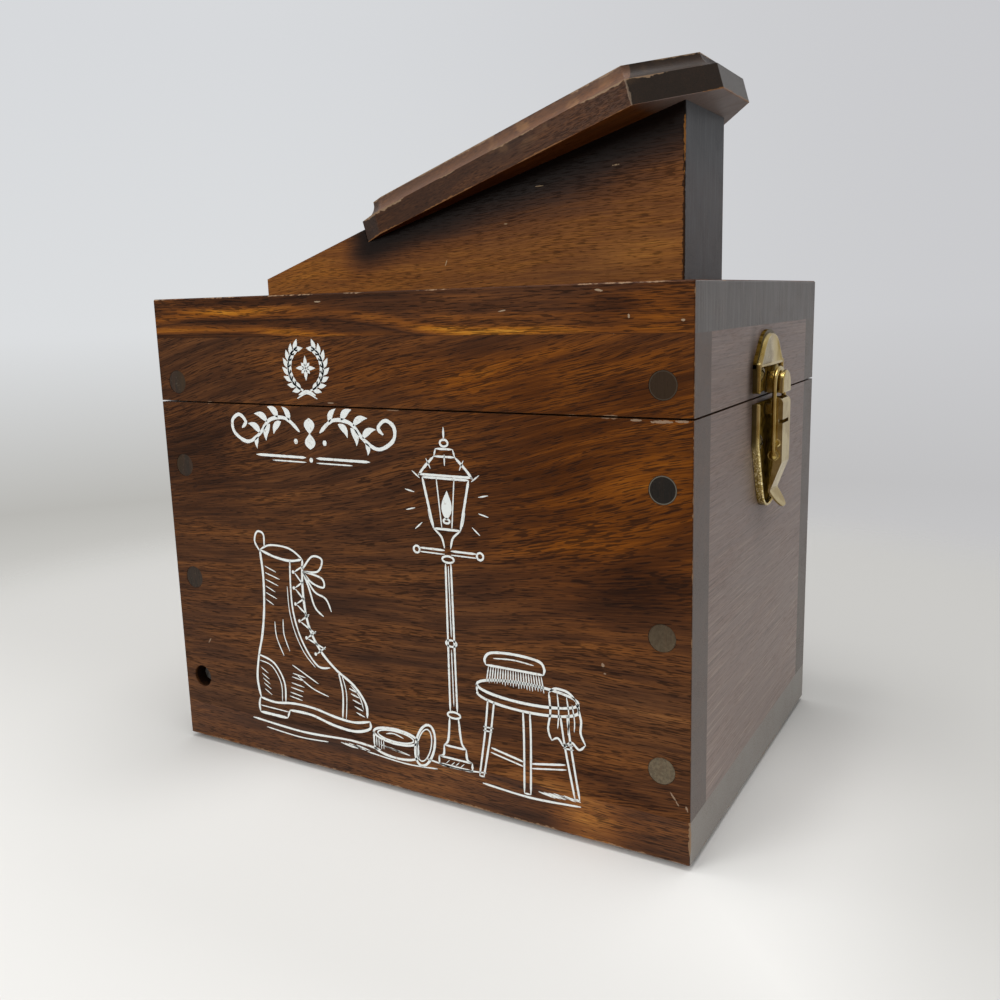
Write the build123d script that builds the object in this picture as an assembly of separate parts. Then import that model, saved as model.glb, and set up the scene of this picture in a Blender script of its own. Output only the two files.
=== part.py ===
from build123d import *
import os
from math import cos, radians, sin

# Wooden shoe shine box: a plank case with a hinged lid that carries a sloping footrest, held shut by
# a draw latch. Sizes are in millimetres. +X points to the latch end, -Y to the front, +Z up, and the
# origin is in the middle of the case's plan, on the surface that the feet stand on.

# Carcase, cut in two along a saw line after it was glued up
LENGTH = 279.4
DEPTH = 192.8
BODY_HEIGHT = 229.9
BOARD = 19.05
SAW_LINE = 179.5
RIM_GAP = 0.8
EDGE_CHAMFER = 0.6

# Feet under the bottom board
FOOT_HEIGHT = 2.2
FOOT_RADIUS = 9.5
FOOT_SIDES = 24
FOOT_INSET = 17.5

# Counterbored carcase screws under face-grain plugs
COUNTERBORE_RADIUS = 5.75
COUNTERBORE_DEPTH = 8.0
PLUG_RADIUS = 5.65
PLUG_SIDES = 20
PLUG_SUNK = 0.15
PAN_HEAD_RADIUS = 4.2
PAN_HEAD_HEIGHT = 2.6
SHANK_RADIUS = 2.1
CARCASE_SCREW_LENGTH = 32.0
SCREW_SIDES = 8
PIN_SIDES = 16
FIT_SLACK = 0.05
LATCH_END_X = 127.5
HINGE_END_X = -127.3
LATCH_END_CASE_ROWS = (38.5, 93.9, 152.4)
HINGE_END_CASE_ROWS = (34.1, 88.2, 147.1)
LATCH_END_LID_ROW = 191.9
HINGE_END_LID_ROW = 189.2
OPEN_HOLE = (HINGE_END_X, HINGE_END_CASE_ROWS[0])

# Countersunk screws up through the bottom board, and through the lid board into the riser
FLAT_HEAD_RADIUS = 4.2
BOTTOM_SCREW_LENGTH = 38.0
BOTTOM_SCREW_ROWS = (-42.0, 42.0)
RISER_SCREW_LENGTH = 45.0
RISER_SCREW_XS = (-29.7, 25.3, 85.3)

# Footrest riser: a wedge block with a let-in seat for the plate
RISER_THICKNESS = 53.8
RISER_LOW_X = -127.0
RISER_HIGH_X = 111.3
RISER_LOW_HEIGHT = 9.74
RAMP_ANGLE = 18.24
SEAT_START_X = -56.8
SEAT_START_HEIGHT = 25.9
SEAT_ANGLE = 16.18
SEAT_END_GAP = 0.3

# Footrest plate: a tapered plank with cut corners and a cove round its top edge
PLATE_LENGTH = 189.3
PLATE_THICKNESS = 18.8
PLATE_BAND = 10.8
COVE_INSET = 6.5
LOW_CUT = 11.9
LOW_CUT_HALF = 26.8
LOW_HALF = 31.5
HIGH_CUT = 29.2
HIGH_HALF = 50.7
HIGH_CUT_HALF = 18.8
PLATE_SCREW_US = (45.0, 135.0)

# Butt hinges at the far end
HINGE_YS = (-42.0, 42.0)
HINGE_LENGTH = 38.0
KNUCKLES = 3
KNUCKLE_GAP = 0.1
KNUCKLE_RADIUS = 2.8
HINGE_PIN_RADIUS = 1.5
HINGE_PIN_PROUD = 0.8
HINGE_PIN_CLEARANCE = 0.05
HINGE_OFFSET = 3.2
LEAF_THICKNESS = 1.3
LEAF_REACH = 17.2
LEAF_CLEARANCE = 0.05
LEAF_NOTCH = 0.35
LEAF_SCREW_SPACING = 24.0
LEAF_SCREW_INSET = 9.5
LEAF_SCREW_HEAD = 2.6
LEAF_SCREW_SHANK = 1.2
LEAF_SCREW_LENGTH = 15.0

# Draw latch on the near end. Its heights are from the saw line and its depths from the wood.
SHEET = 0.8
SHELL_RISE = 3.4
SHELL_HALF = 20.0
SHELL_BEVEL = 0.8
KEEPER_FOOT = 0.9
KEEPER_SHOULDER = 15.4
KEEPER_TIP = 29.1
KEEPER_TIP_HALF = 8.1
KEEPER_TIP_RADIUS = 16.0
KEEPER_SCREW = (12.2, 10.4)
HOOK_NECK_HALF = 4.6
HOOK_NECK_TOP = 10.7
HOOK_HEAD_HALF = 6.7
HOOK_HEAD_TOP = 11.4
HOOK_FOOT = 1.5
HOOK_HEAD_BACK = 8.5
HOOK_HEAD_FRONT = 10.0
HOOK_BEVEL = 0.4
BASE_TOP = -1.3
BASE_SHOULDER = -20.0
BASE_TIP = -50.2
BASE_TIP_HALF = 8.5
BASE_TIP_RADIUS = 12.0
BASE_SCREW = (13.8, -19.5)
LATCH_SCREW_HEAD = 3.6
LATCH_SCREW_RISE = 1.7
LATCH_SCREW_SHANK = 1.2
LATCH_SCREW_LENGTH = 15.0
LEVER_PIVOT = (7.2, -3.1)
LEVER_PIN_RADIUS = 1.2
LEVER_PIN_HALF = 6.95
EAR_RADIUS = 1.7
EAR_INNER = 4.6
EAR_OUTER = 5.6
EAR_ROOT_TOP = -5.2
EAR_ROOT_BOTTOM = -10.5
LEVER_HALF = 6.7
LEVER_SHEET = 0.9
LEVER_LOBE = 2.8
LEVER_CURL = 45.0
LEVER_FRONT = 10.0
LEVER_WALL_BACK = 6.1
LEVER_STRAIGHT_END = -29.3
LEVER_WAIST = (4.55, -42.6)
LEVER_TAIL = (9.6, -49.8)
LEVER_BENDS = (3.0, 2.0)
LEVER_SLOT_TOP = -10.1
LEVER_SLOT_BOTTOM = -11.7
LEVER_SLOT_END = 3.5
LEVER_SLOT_BACK = 8.2
BAIL_PIVOT = (6.5, -26.0)
BAIL_HALF = 8.2
BAIL_WIRE = 1.0
BAIL_TOP = 12.0
BAIL_WIRE_END = -24.05
EYE_RADIUS = 2.5
EYE_THICKNESS = 1.2
EYE_BORE = 1.05
RIVET_RADIUS = 1.0
RIVET_SLACK = 0.02
RIVET_HEAD_RADIUS = 1.85
RIVET_HEAD_RISE = 0.9
RIVET_HEAD_GAP = 0.1
EYE_LOBE = 2.4

# Worked out from the sizes above
HALF_LENGTH = LENGTH / 2
HALF_DEPTH = DEPTH / 2
UNDERSIDE = FOOT_HEIGHT
FLOOR_TOP = UNDERSIDE + BOARD
SAW_Z = UNDERSIDE + SAW_LINE
CASE_RIM = SAW_Z - RIM_GAP / 2
LID_RIM = SAW_Z + RIM_GAP / 2
LID_TOP = UNDERSIDE + BODY_HEIGHT
LID_CEILING = LID_TOP - BOARD
PLUG_LENGTH = COUNTERBORE_DEPTH - PAN_HEAD_HEIGHT - PLUG_SUNK
HINGE_X = -HALF_LENGTH - HINGE_OFFSET
LEAF_END = -HALF_LENGTH + LEAF_REACH

SEAT = Plane(
    origin=(SEAT_START_X, 0, LID_TOP + SEAT_START_HEIGHT),
    x_dir=(cos(radians(SEAT_ANGLE)), 0, sin(radians(SEAT_ANGLE))),
    z_dir=(-sin(radians(SEAT_ANGLE)), 0, cos(radians(SEAT_ANGLE))),
)
SIDE = Plane(origin=(0, 0, LID_TOP), x_dir=(1, 0, 0), z_dir=(0, -1, 0))
LATCH_FACE = Plane(origin=(HALF_LENGTH, 0, SAW_Z), x_dir=(0, 1, 0), z_dir=(1, 0, 0))
LATCH_SIDE = Plane(origin=(HALF_LENGTH, 0, SAW_Z), x_dir=(1, 0, 0), z_dir=(0, -1, 0))


def block(x, y, z):
    """Box from three (low, high) pairs."""
    size = Box(x[1] - x[0], y[1] - y[0], z[1] - z[0], align=(Align.MIN, Align.MIN, Align.MIN))
    return Pos(x[0], y[0], z[0]) * size


def rod(radius, plane, low, high):
    """Cylinder along a plane's normal, between two distances from that plane."""
    return extrude(plane.offset(low) * Circle(radius), high - low)


def pin(radius, plane, low, high):
    """Rod of few sides, for pins and rivets that turn in a round bore."""
    return extrude(plane.offset(low) * RegularPolygon(radius, PIN_SIDES), high - low)


def group(pieces):
    return Compound(children=list(pieces))


def facing(point, outward):
    return Plane(origin=point, z_dir=outward).location


# Fasteners: each is made along Z with its seat at z = 0 and its shank going down. The screws are
# eight-sided to keep them light, and cut their own way into the wood, which has no pilot holes.


def shank(radius, low, high):
    return extrude(Pos(0, 0, low) * RegularPolygon(radius, SCREW_SIDES), high - low)


def tapered(radius, height):
    return extrude(RegularPolygon(radius, SCREW_SIDES), height, taper=45)


def pan_screw():
    """Pan-head wood screw for a counterbore."""
    return shank(PAN_HEAD_RADIUS, 0, PAN_HEAD_HEIGHT) + shank(SHANK_RADIUS, -CARCASE_SCREW_LENGTH, 0)


def flat_screw(head, neck, length):
    """Countersunk wood screw flush with z = 0."""
    return Rot(180, 0, 0) * tapered(head, head - neck) + shank(neck, -length, 0)


def round_screw():
    """Round-head screw that holds the latch."""
    head = tapered(LATCH_SCREW_HEAD, LATCH_SCREW_RISE)
    return head + shank(LATCH_SCREW_SHANK, -LATCH_SCREW_LENGTH, 0)


def plug():
    """Wooden plug with its face at z = 0."""
    return extrude(RegularPolygon(PLUG_RADIUS, PLUG_SIDES), -PLUG_LENGTH)


def counterbore():
    """Hole for a plug and the head of the screw under it, from a face at z = 0."""
    return extrude(Circle(COUNTERBORE_RADIUS), -COUNTERBORE_DEPTH)


def carcase_points(rows, side):
    """Places of the plugged screws on the front (side -1) or back (side 1) board."""
    return [(x, side * HALF_DEPTH, UNDERSIDE + z) for x, z in rows]


LATCH_END_ROWS = [(LATCH_END_X, z) for z in LATCH_END_CASE_ROWS]
CASE_ROWS = LATCH_END_ROWS + [(HINGE_END_X, z) for z in HINGE_END_CASE_ROWS]
LID_ROWS = [(LATCH_END_X, LATCH_END_LID_ROW), (HINGE_END_X, HINGE_END_LID_ROW)]


def carcase_screws(rows, side):
    outward = (0, side, 0)
    floor = [(x, y - side * COUNTERBORE_DEPTH, z) for x, y, z in carcase_points(rows, side)]
    return group(facing(p, outward) * pan_screw() for p in floor)


def carcase_plugs(rows, side):
    outward = (0, side, 0)
    sunk = [(x, y - side * PLUG_SUNK, z) for x, y, z in carcase_points(rows, side)]
    return group(facing(p, outward) * plug() for p in sunk)


# Boards of the case and the lid


def wall_board(side, low, high, rows):
    """Front or back board, its upright corners eased, counterbored for the plugged screws."""
    outer = side * HALF_DEPTH
    inner = outer - side * BOARD
    board = block((-HALF_LENGTH, HALF_LENGTH), sorted((inner, outer)), (low, high))
    corners = [e for e in board.edges().filter_by(Axis.Z) if abs(e.center().Y - outer) < 0.1]
    board = chamfer(corners, EDGE_CHAMFER)
    return board - [facing(p, (0, side, 0)) * counterbore() for p in carcase_points(rows, side)]


def end_board(side, low, high):
    """End panel between the front and back boards."""
    outer = side * HALF_LENGTH
    half = HALF_DEPTH - BOARD
    return block(sorted((outer - side * BOARD, outer)), (-half, half), (low, high))


def flat_board(low, high, outer):
    """Top or bottom board with its outer face's edges and its corners eased."""
    board = block((-HALF_LENGTH, HALF_LENGTH), (-HALF_DEPTH, HALF_DEPTH), (low, high))
    face_edges = [e for e in board.edges() if abs(e.center().Z - outer) < 0.1]
    return chamfer(list(board.edges().filter_by(Axis.Z)) + face_edges, EDGE_CHAMFER)


def bottom_screws():
    """Screws up through the bottom board into the end panels and the front and back boards."""
    screw = flat_screw(FLAT_HEAD_RADIUS, SHANK_RADIUS, BOTTOM_SCREW_LENGTH)
    ends = [(side * (HALF_LENGTH - BOARD / 2), y) for side in (-1, 1) for y in BOTTOM_SCREW_ROWS]
    middles = [(0, side * (HALF_DEPTH - BOARD / 2)) for side in (-1, 1)]
    return group(facing((x, y, UNDERSIDE), (0, 0, -1)) * screw for x, y in ends + middles)


def feet():
    """Round pads stuck under the four corners."""
    pad = extrude(RegularPolygon(FOOT_RADIUS, FOOT_SIDES), FOOT_HEIGHT)
    spots = GridLocations(LENGTH - 2 * FOOT_INSET, DEPTH - 2 * FOOT_INSET, 2, 2)
    return group(spot * pad for spot in spots)


# Footrest


def footrest_riser():
    """Wedge block on the lid, its ramp cut away to a seat square to the plate's low end."""
    ramp = RAMP_ANGLE
    ramp_top = RISER_LOW_HEIGHT + (RISER_HIGH_X - RISER_LOW_X) * sin(radians(ramp)) / cos(radians(ramp))
    outline = [
        (RISER_LOW_X, 0),
        (RISER_HIGH_X, 0),
        (RISER_HIGH_X, ramp_top),
        (RISER_LOW_X, RISER_LOW_HEIGHT),
    ]
    wedge = extrude(SIDE * Polygon(*outline, align=None), RISER_THICKNESS / 2, both=True)
    notch = block((-SEAT_END_GAP, 2 * PLATE_LENGTH), (-DEPTH, DEPTH), (0, DEPTH))
    riser = wedge - SEAT.location * notch
    uprights = [e for e in riser.edges().filter_by(Axis.Z) if e.center().X > RISER_HIGH_X - 1]
    return chamfer(uprights, EDGE_CHAMFER)


def plate_outline():
    """Corners of the plate's underside, anticlockwise from above, from the low end upwards."""
    near = [
        (0, -LOW_CUT_HALF),
        (LOW_CUT, -LOW_HALF),
        (PLATE_LENGTH - HIGH_CUT, -HIGH_HALF),
        (PLATE_LENGTH, -HIGH_CUT_HALF),
    ]
    return near + [(u, -v) for u, v in reversed(near)]


def cove_side(start, end):
    """Everything on the inner side of one edge's moulding: a square band with a cove above it."""
    along = (Vector(*end) - Vector(*start)).normalized()
    outward = Vector(along.Y, -along.X)
    reach = 2 * PLATE_LENGTH
    section = Plane(origin=Vector(*end) + along * reach, x_dir=outward, z_dir=-along)
    cove_depth = PLATE_THICKNESS - PLATE_BAND
    bend = cos(radians(45))
    cove = ThreePointArc(
        (0, PLATE_BAND),
        (-COVE_INSET * bend, PLATE_THICKNESS - cove_depth * bend),
        (-COVE_INSET, PLATE_THICKNESS),
    )
    inner = [(-COVE_INSET, PLATE_THICKNESS), (-reach, PLATE_THICKNESS), (-reach, 0)]
    rest = Polyline(*inner, (0, 0), (0, PLATE_BAND))
    return extrude(section * make_face(cove + rest), 3 * reach)


def plate_screw_spots(height):
    return [SEAT.location * Pos(u, 0, height) for u in PLATE_SCREW_US]


def footrest_plate():
    """The edge mouldings meet in mitres, because the plate is what all eight sides share."""
    corners = plate_outline()
    plate = cove_side(corners[-1], corners[0])
    for start, end in zip(corners, corners[1:]):
        plate = plate & cove_side(start, end)
    return SEAT.location * plate - [spot * counterbore() for spot in plate_screw_spots(PLATE_THICKNESS)]


def plate_screws():
    floor = plate_screw_spots(PLATE_THICKNESS - COUNTERBORE_DEPTH)
    return group(spot * pan_screw() for spot in floor)


def plate_plugs():
    return group(spot * plug() for spot in plate_screw_spots(PLATE_THICKNESS - PLUG_SUNK))


def riser_screws():
    """Screws from inside the lid up into the riser."""
    screw = flat_screw(FLAT_HEAD_RADIUS, SHANK_RADIUS, RISER_SCREW_LENGTH)
    return group(facing((x, 0, LID_CEILING), (0, 0, -1)) * screw for x in RISER_SCREW_XS)


# Hinges


def leaf_band(side):
    """Heights of a leaf: below the saw line for the case (side -1), above it for the lid (side 1)."""
    near = SAW_Z + side * LEAF_CLEARANCE
    return sorted((near, near + side * LEAF_THICKNESS))


def hinge_leaf(y, side):
    """Flat leaf with its share of the knuckles, wrapped round the pin."""
    first = 0 if side < 0 else 1
    band = leaf_band(side)
    pitch = HINGE_LENGTH / KNUCKLES
    low = y - HINGE_LENGTH / 2
    notched = HINGE_X + KNUCKLE_RADIUS + LEAF_NOTCH
    leaf = block((notched, LEAF_END), (low, low + HINGE_LENGTH), band)
    axis_plane = Plane(origin=(HINGE_X, low, SAW_Z), z_dir=(0, 1, 0))
    for number in range(first, KNUCKLES, 2):
        span = (number * pitch + KNUCKLE_GAP / 2, (number + 1) * pitch - KNUCKLE_GAP / 2)
        neck = block((HINGE_X, notched + 1), (low + span[0], low + span[1]), band)
        leaf += rod(KNUCKLE_RADIUS, axis_plane, *span) + neck
    slack = FIT_SLACK / 2 if side < 0 else HINGE_PIN_CLEARANCE
    leaf -= rod(HINGE_PIN_RADIUS + slack, axis_plane, -1, HINGE_LENGTH + 1)
    return leaf - leaf_screws(y, side)


def leaf_screws(y, side):
    """Countersunk screws that fill their holes in one leaf."""
    screw = flat_screw(LEAF_SCREW_HEAD, LEAF_SCREW_SHANK, LEAF_SCREW_LENGTH)
    face = SAW_Z + side * LEAF_CLEARANCE * 2
    x = -HALF_LENGTH + LEAF_SCREW_INSET
    ys = (y - LEAF_SCREW_SPACING / 2, y + LEAF_SCREW_SPACING / 2)
    return [facing((x, at, face), (0, 0, -side)) * screw for at in ys]


def leaf_recess(y, side):
    """Shallow mortise in a rim for one leaf."""
    return block(
        (-HALF_LENGTH - 1, LEAF_END + FIT_SLACK),
        (y - HINGE_LENGTH / 2 - FIT_SLACK, y + HINGE_LENGTH / 2 + FIT_SLACK),
        leaf_band(side),
    )


def hinge_pin(y):
    reach = HINGE_LENGTH / 2 + HINGE_PIN_PROUD
    return pin(HINGE_PIN_RADIUS, Plane(origin=(HINGE_X, y, SAW_Z), z_dir=(0, 1, 0)), -reach, reach)


# Draw latch: the keeper and its hook on the lid, the base, lever and bail on the case


def latch_screw_spots(place):
    across, height = place
    return [LATCH_FACE.location * Pos(side * across, height, SHELL_RISE) for side in (-1, 1)]


def latch_screw_holes(place):
    hole = shank(LATCH_SCREW_SHANK + FIT_SLACK, -LATCH_SCREW_LENGTH - SHELL_RISE, 0)
    return [spot * hole for spot in latch_screw_spots(place)]


def latch_screws(place):
    return group(spot * round_screw() for spot in latch_screw_spots(place))


def stamped_shell(mouth, shoulder, tip, tip_half, tip_radius):
    """Sheet brass stamping with straight cheeks and a round tip: a face held off the wood by a rim,
    open on the saw line side."""
    cheek = [(SHELL_HALF, mouth), (SHELL_HALF, shoulder), (tip_half, tip)]
    plan = Polygon(*cheek, *[(-x, y) for x, y in reversed(cheek)], align=None)
    plan = fillet([v for v in plan.vertices() if abs(v.Y - tip) < 0.1], tip_radius)
    up = (0, 0, 1)
    shell = extrude(plan, SHELL_RISE, dir=up)
    rim_edges = [e for e in shell.edges().group_by(Axis.Z)[-1] if abs(e.center().Y - mouth) > 0.1]
    shell = chamfer(rim_edges, SHELL_BEVEL)
    inside = extrude(offset(plan, -SHEET), SHELL_RISE - SHEET, dir=up)
    half = SHELL_HALF - SHEET
    opening = block((-half, half), (mouth - 2 * SHEET, mouth + 2 * SHEET), (0, SHELL_RISE - SHEET))
    return shell - inside - opening


def latch_keeper():
    """Arched plate on the lid with the hook that the bail pulls down on."""
    shell = stamped_shell(KEEPER_FOOT, KEEPER_SHOULDER, KEEPER_TIP, KEEPER_TIP_HALF, KEEPER_TIP_RADIUS)
    neck = arched_tab(HOOK_NECK_HALF, HOOK_NECK_TOP, SHELL_RISE - SHEET / 2, HOOK_HEAD_BACK)
    head = arched_tab(HOOK_HEAD_HALF, HOOK_HEAD_TOP, HOOK_HEAD_BACK, HOOK_HEAD_FRONT)
    head = chamfer(head.edges().group_by(Axis.Z)[-1], HOOK_BEVEL)
    keeper = LATCH_FACE.location * (shell + neck + head)
    return keeper - latch_screw_holes(KEEPER_SCREW)


def arched_tab(half, top, low, high):
    """Round-topped tab standing on the hook's foot line, between two depths."""
    shoulder = top - half
    arch = ThreePointArc((half, shoulder), (0, top), (-half, shoulder))
    sides = Polyline((-half, shoulder), (-half, HOOK_FOOT), (half, HOOK_FOOT), (half, shoulder))
    return Pos(0, 0, low) * extrude(make_face(arch + sides), high - low)


def latch_base():
    """Tapering plate on the case with two ears inside the lever for its pin."""
    shell = stamped_shell(BASE_TOP, BASE_SHOULDER, BASE_TIP, BASE_TIP_HALF, BASE_TIP_RADIUS)
    base = LATCH_FACE.location * shell
    for side in (-1, 1):
        base += latch_ear(side)
    bore = rod(LEVER_PIN_RADIUS + RIVET_SLACK, pivot_plane(LEVER_PIVOT), -EAR_OUTER - 1, EAR_OUTER + 1)
    return base - bore - latch_screw_holes(BASE_SCREW)


def pivot_plane(pivot):
    """Plane square to a pivot of the latch, through its middle."""
    return Plane(origin=(HALF_LENGTH + pivot[0], 0, SAW_Z + pivot[1]), z_dir=(0, 1, 0))


def latch_ear(side):
    root = SHELL_RISE - SHEET / 2
    corners = [Vertex(root, EAR_ROOT_TOP, 0), Vertex(root, EAR_ROOT_BOTTOM, 0)]
    eye = Pos(*LEVER_PIVOT) * Circle(EAR_RADIUS)
    web = make_hull(eye.edges() + [Edge.make_line(corners[0].center(), corners[1].center())])
    middle = -side * (EAR_INNER + EAR_OUTER) / 2
    return extrude(LATCH_SIDE.offset(middle) * web, (EAR_OUTER - EAR_INNER) / 2, both=True)


def lever_web():
    """The lever's bent strip: curled over the pin, straight, in to a waist and out to a tail."""
    half = LEVER_SHEET / 2
    x, z = LEVER_PIVOT
    radius = LEVER_LOBE - half
    curl = CenterArc((x, z), radius, LEVER_CURL, -LEVER_CURL)
    bends = [(LEVER_FRONT - half, LEVER_STRAIGHT_END), LEVER_WAIST]
    run = FilletPolyline((x + radius, z), *bends, LEVER_TAIL, radius=LEVER_BENDS)
    strip = make_face(offset(Wire(curl.edges() + run.edges()), half, side=Side.BOTH))
    return extrude(LATCH_SIDE * strip, LEVER_HALF, both=True)


def lever_walls():
    """Side walls with a lobe round each pin, tapering out at the waist."""
    inside = LEVER_FRONT - LEVER_SHEET / 2
    waist_x, waist_z = LEVER_WAIST
    flank = Polygon(
        (inside, LEVER_PIVOT[1]),
        (LEVER_WALL_BACK, LEVER_PIVOT[1]),
        (LEVER_WALL_BACK, LEVER_STRAIGHT_END - 1),
        (waist_x, waist_z + 2),
        (waist_x + LEVER_SHEET / 2, waist_z + 1),
        (inside, LEVER_STRAIGHT_END),
        align=None,
    )
    lobes = Pos(*LEVER_PIVOT) * Circle(LEVER_LOBE) + Pos(*BAIL_PIVOT) * Circle(EYE_LOBE)
    solid = extrude(LATCH_SIDE * (flank + lobes), LEVER_HALF, both=True)
    gap = LEVER_HALF - LEVER_SHEET
    return solid - LATCH_FACE.location * block((-gap, gap), (-DEPTH, DEPTH), (0, DEPTH))


def latch_lever():
    """Channel lever: slotted web, lobed walls, half-round finger tail."""
    lever = lever_web() + lever_walls()
    tail = LEVER_TAIL[1] + LEVER_HALF - LEVER_SHEET / 2
    plan = Pos(0, tail) * Circle(LEVER_HALF)
    plan += Pos(0, tail / 2 + LEVER_LOBE) * Rectangle(2 * LEVER_HALF, -tail + 2 * LEVER_LOBE)
    lever = lever & (LATCH_FACE.location * extrude(plan, 2 * LEVER_FRONT))
    slot = block(
        (-LEVER_HALF - 1, LEVER_SLOT_END),
        (LEVER_SLOT_BOTTOM, LEVER_SLOT_TOP),
        (LEVER_SLOT_BACK, LEVER_FRONT + 1),
    )
    lever -= LATCH_FACE.location * slot
    reach = LEVER_HALF + 1
    lever -= rod(LEVER_PIN_RADIUS + FIT_SLACK, pivot_plane(LEVER_PIVOT), -reach, reach)
    return lever - rod(RIVET_RADIUS + RIVET_SLACK, pivot_plane(BAIL_PIVOT), -reach, reach)


def lever_pin():
    return pin(LEVER_PIN_RADIUS, pivot_plane(LEVER_PIVOT), -LEVER_PIN_HALF, LEVER_PIN_HALF)


def eye_band():
    """Distances of an eye's two faces from the latch's middle."""
    inner = BAIL_HALF - BAIL_WIRE
    return inner, inner + EYE_THICKNESS


def draw_bail():
    """Wire arch that hooks over the keeper, its legs flattened into eyes on the lever's rivet."""
    shoulder = BAIL_TOP - BAIL_HALF
    left = Line((-BAIL_HALF, BAIL_WIRE_END), (-BAIL_HALF, shoulder))
    arch = ThreePointArc((-BAIL_HALF, shoulder), (0, BAIL_TOP), (BAIL_HALF, shoulder))
    right = Line((BAIL_HALF, shoulder), (BAIL_HALF, BAIL_WIRE_END))
    path = LATCH_FACE.offset(BAIL_PIVOT[0]) * Wire(left.edges() + arch.edges() + right.edges())
    start = Plane(origin=path @ 0, x_dir=(1, 0, 0), z_dir=path % 0)
    bail = sweep(start * RegularPolygon(BAIL_WIRE, SCREW_SIDES), path)
    for side in (-1, 1):
        faces = sorted(side * face for face in eye_band())
        bail += pin(EYE_RADIUS, pivot_plane(BAIL_PIVOT), *faces)
    reach = BAIL_HALF + BAIL_WIRE
    return bail - rod(EYE_BORE, pivot_plane(BAIL_PIVOT), -reach, reach)


def bail_rivet():
    """Through rivet with domed heads outside the bail's eyes."""
    seat = eye_band()[1] + RIVET_HEAD_GAP
    plane = pivot_plane(BAIL_PIVOT)
    rivet = pin(RIVET_RADIUS, plane, -seat, seat)
    head = pin(RIVET_HEAD_RADIUS, plane, seat, seat + RIVET_HEAD_RISE)
    head = chamfer(head.edges().group_by(Axis.Y)[-1], RIVET_HEAD_RISE * 0.6)
    return rivet + head + mirror(head, Plane.XZ)


def build():
    """Every sub-part by name."""
    wall = (FLOOR_TOP, CASE_RIM)
    lid_wall = (LID_RIM, LID_CEILING)
    plugged = [row for row in CASE_ROWS if row != OPEN_HOLE]
    return {
        "bottom_board": flat_board(UNDERSIDE, FLOOR_TOP, UNDERSIDE),
        "front_board": wall_board(-1, *wall, CASE_ROWS),
        "back_board": wall_board(1, *wall, CASE_ROWS),
        "latch_end_panel": end_board(1, *wall),
        "hinge_end_panel": end_board(-1, *wall) - [leaf_recess(y, -1) for y in HINGE_YS],
        "front_screws": carcase_screws(CASE_ROWS, -1),
        "back_screws": carcase_screws(CASE_ROWS, 1),
        "front_plugs": carcase_plugs(plugged, -1),
        "back_plugs": carcase_plugs(CASE_ROWS, 1),
        "bottom_screws": bottom_screws(),
        "feet": feet(),
        "case_hinge_leaves": group(hinge_leaf(y, -1) for y in HINGE_YS),
        "hinge_pins": group(hinge_pin(y) for y in HINGE_YS),
        "case_leaf_screws": group(screw for y in HINGE_YS for screw in leaf_screws(y, -1)),
        "latch_base": latch_base(),
        "latch_base_screws": latch_screws(BASE_SCREW),
        "lever_pin": lever_pin(),
        "latch_lever": latch_lever(),
        "bail_rivet": bail_rivet(),
        "draw_bail": draw_bail(),
        "lid_top_board": flat_board(LID_CEILING, LID_TOP, LID_TOP),
        "lid_front_board": wall_board(-1, *lid_wall, LID_ROWS),
        "lid_back_board": wall_board(1, *lid_wall, LID_ROWS),
        "lid_latch_end": end_board(1, *lid_wall),
        "lid_hinge_end": end_board(-1, *lid_wall) - [leaf_recess(y, 1) for y in HINGE_YS],
        "lid_front_screws": carcase_screws(LID_ROWS, -1),
        "lid_back_screws": carcase_screws(LID_ROWS, 1),
        "lid_front_plugs": carcase_plugs(LID_ROWS, -1),
        "lid_back_plugs": carcase_plugs(LID_ROWS, 1),
        "footrest_riser": footrest_riser(),
        "footrest_plate": footrest_plate(),
        "riser_screws": riser_screws(),
        "footrest_screws": plate_screws(),
        "footrest_plugs": plate_plugs(),
        "lid_hinge_leaves": group(hinge_leaf(y, 1) for y in HINGE_YS),
        "lid_leaf_screws": group(screw for y in HINGE_YS for screw in leaf_screws(y, 1)),
        "latch_keeper": latch_keeper(),
        "keeper_screws": latch_screws(KEEPER_SCREW),
    }


os.makedirs("parts", exist_ok=True)
for name, shape in build().items():
    export_step(shape, f"parts/{name}.step")
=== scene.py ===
from math import cos, hypot, pi, radians, sin
from random import Random

import bmesh
import bpy
from mathutils import Matrix, Vector

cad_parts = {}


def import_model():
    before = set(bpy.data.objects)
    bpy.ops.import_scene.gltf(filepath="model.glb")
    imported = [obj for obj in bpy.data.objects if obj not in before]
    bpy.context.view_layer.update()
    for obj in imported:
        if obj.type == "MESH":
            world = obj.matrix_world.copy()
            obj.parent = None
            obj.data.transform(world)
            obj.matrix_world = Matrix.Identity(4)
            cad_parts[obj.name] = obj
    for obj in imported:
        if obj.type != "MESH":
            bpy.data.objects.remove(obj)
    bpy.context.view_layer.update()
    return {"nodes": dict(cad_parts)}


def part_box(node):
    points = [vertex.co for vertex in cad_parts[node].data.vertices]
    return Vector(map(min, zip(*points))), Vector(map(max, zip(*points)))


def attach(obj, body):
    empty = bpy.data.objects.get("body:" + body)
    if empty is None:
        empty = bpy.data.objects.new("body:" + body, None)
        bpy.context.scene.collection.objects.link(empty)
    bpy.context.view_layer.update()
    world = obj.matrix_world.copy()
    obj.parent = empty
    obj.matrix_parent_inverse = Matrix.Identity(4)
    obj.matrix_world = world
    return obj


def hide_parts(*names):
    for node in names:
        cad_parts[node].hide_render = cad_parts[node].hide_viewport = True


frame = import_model()
MM = 0.001
X, Y, Z = (1, 0, 0), (0, 1, 0), (0, 0, 1)

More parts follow.
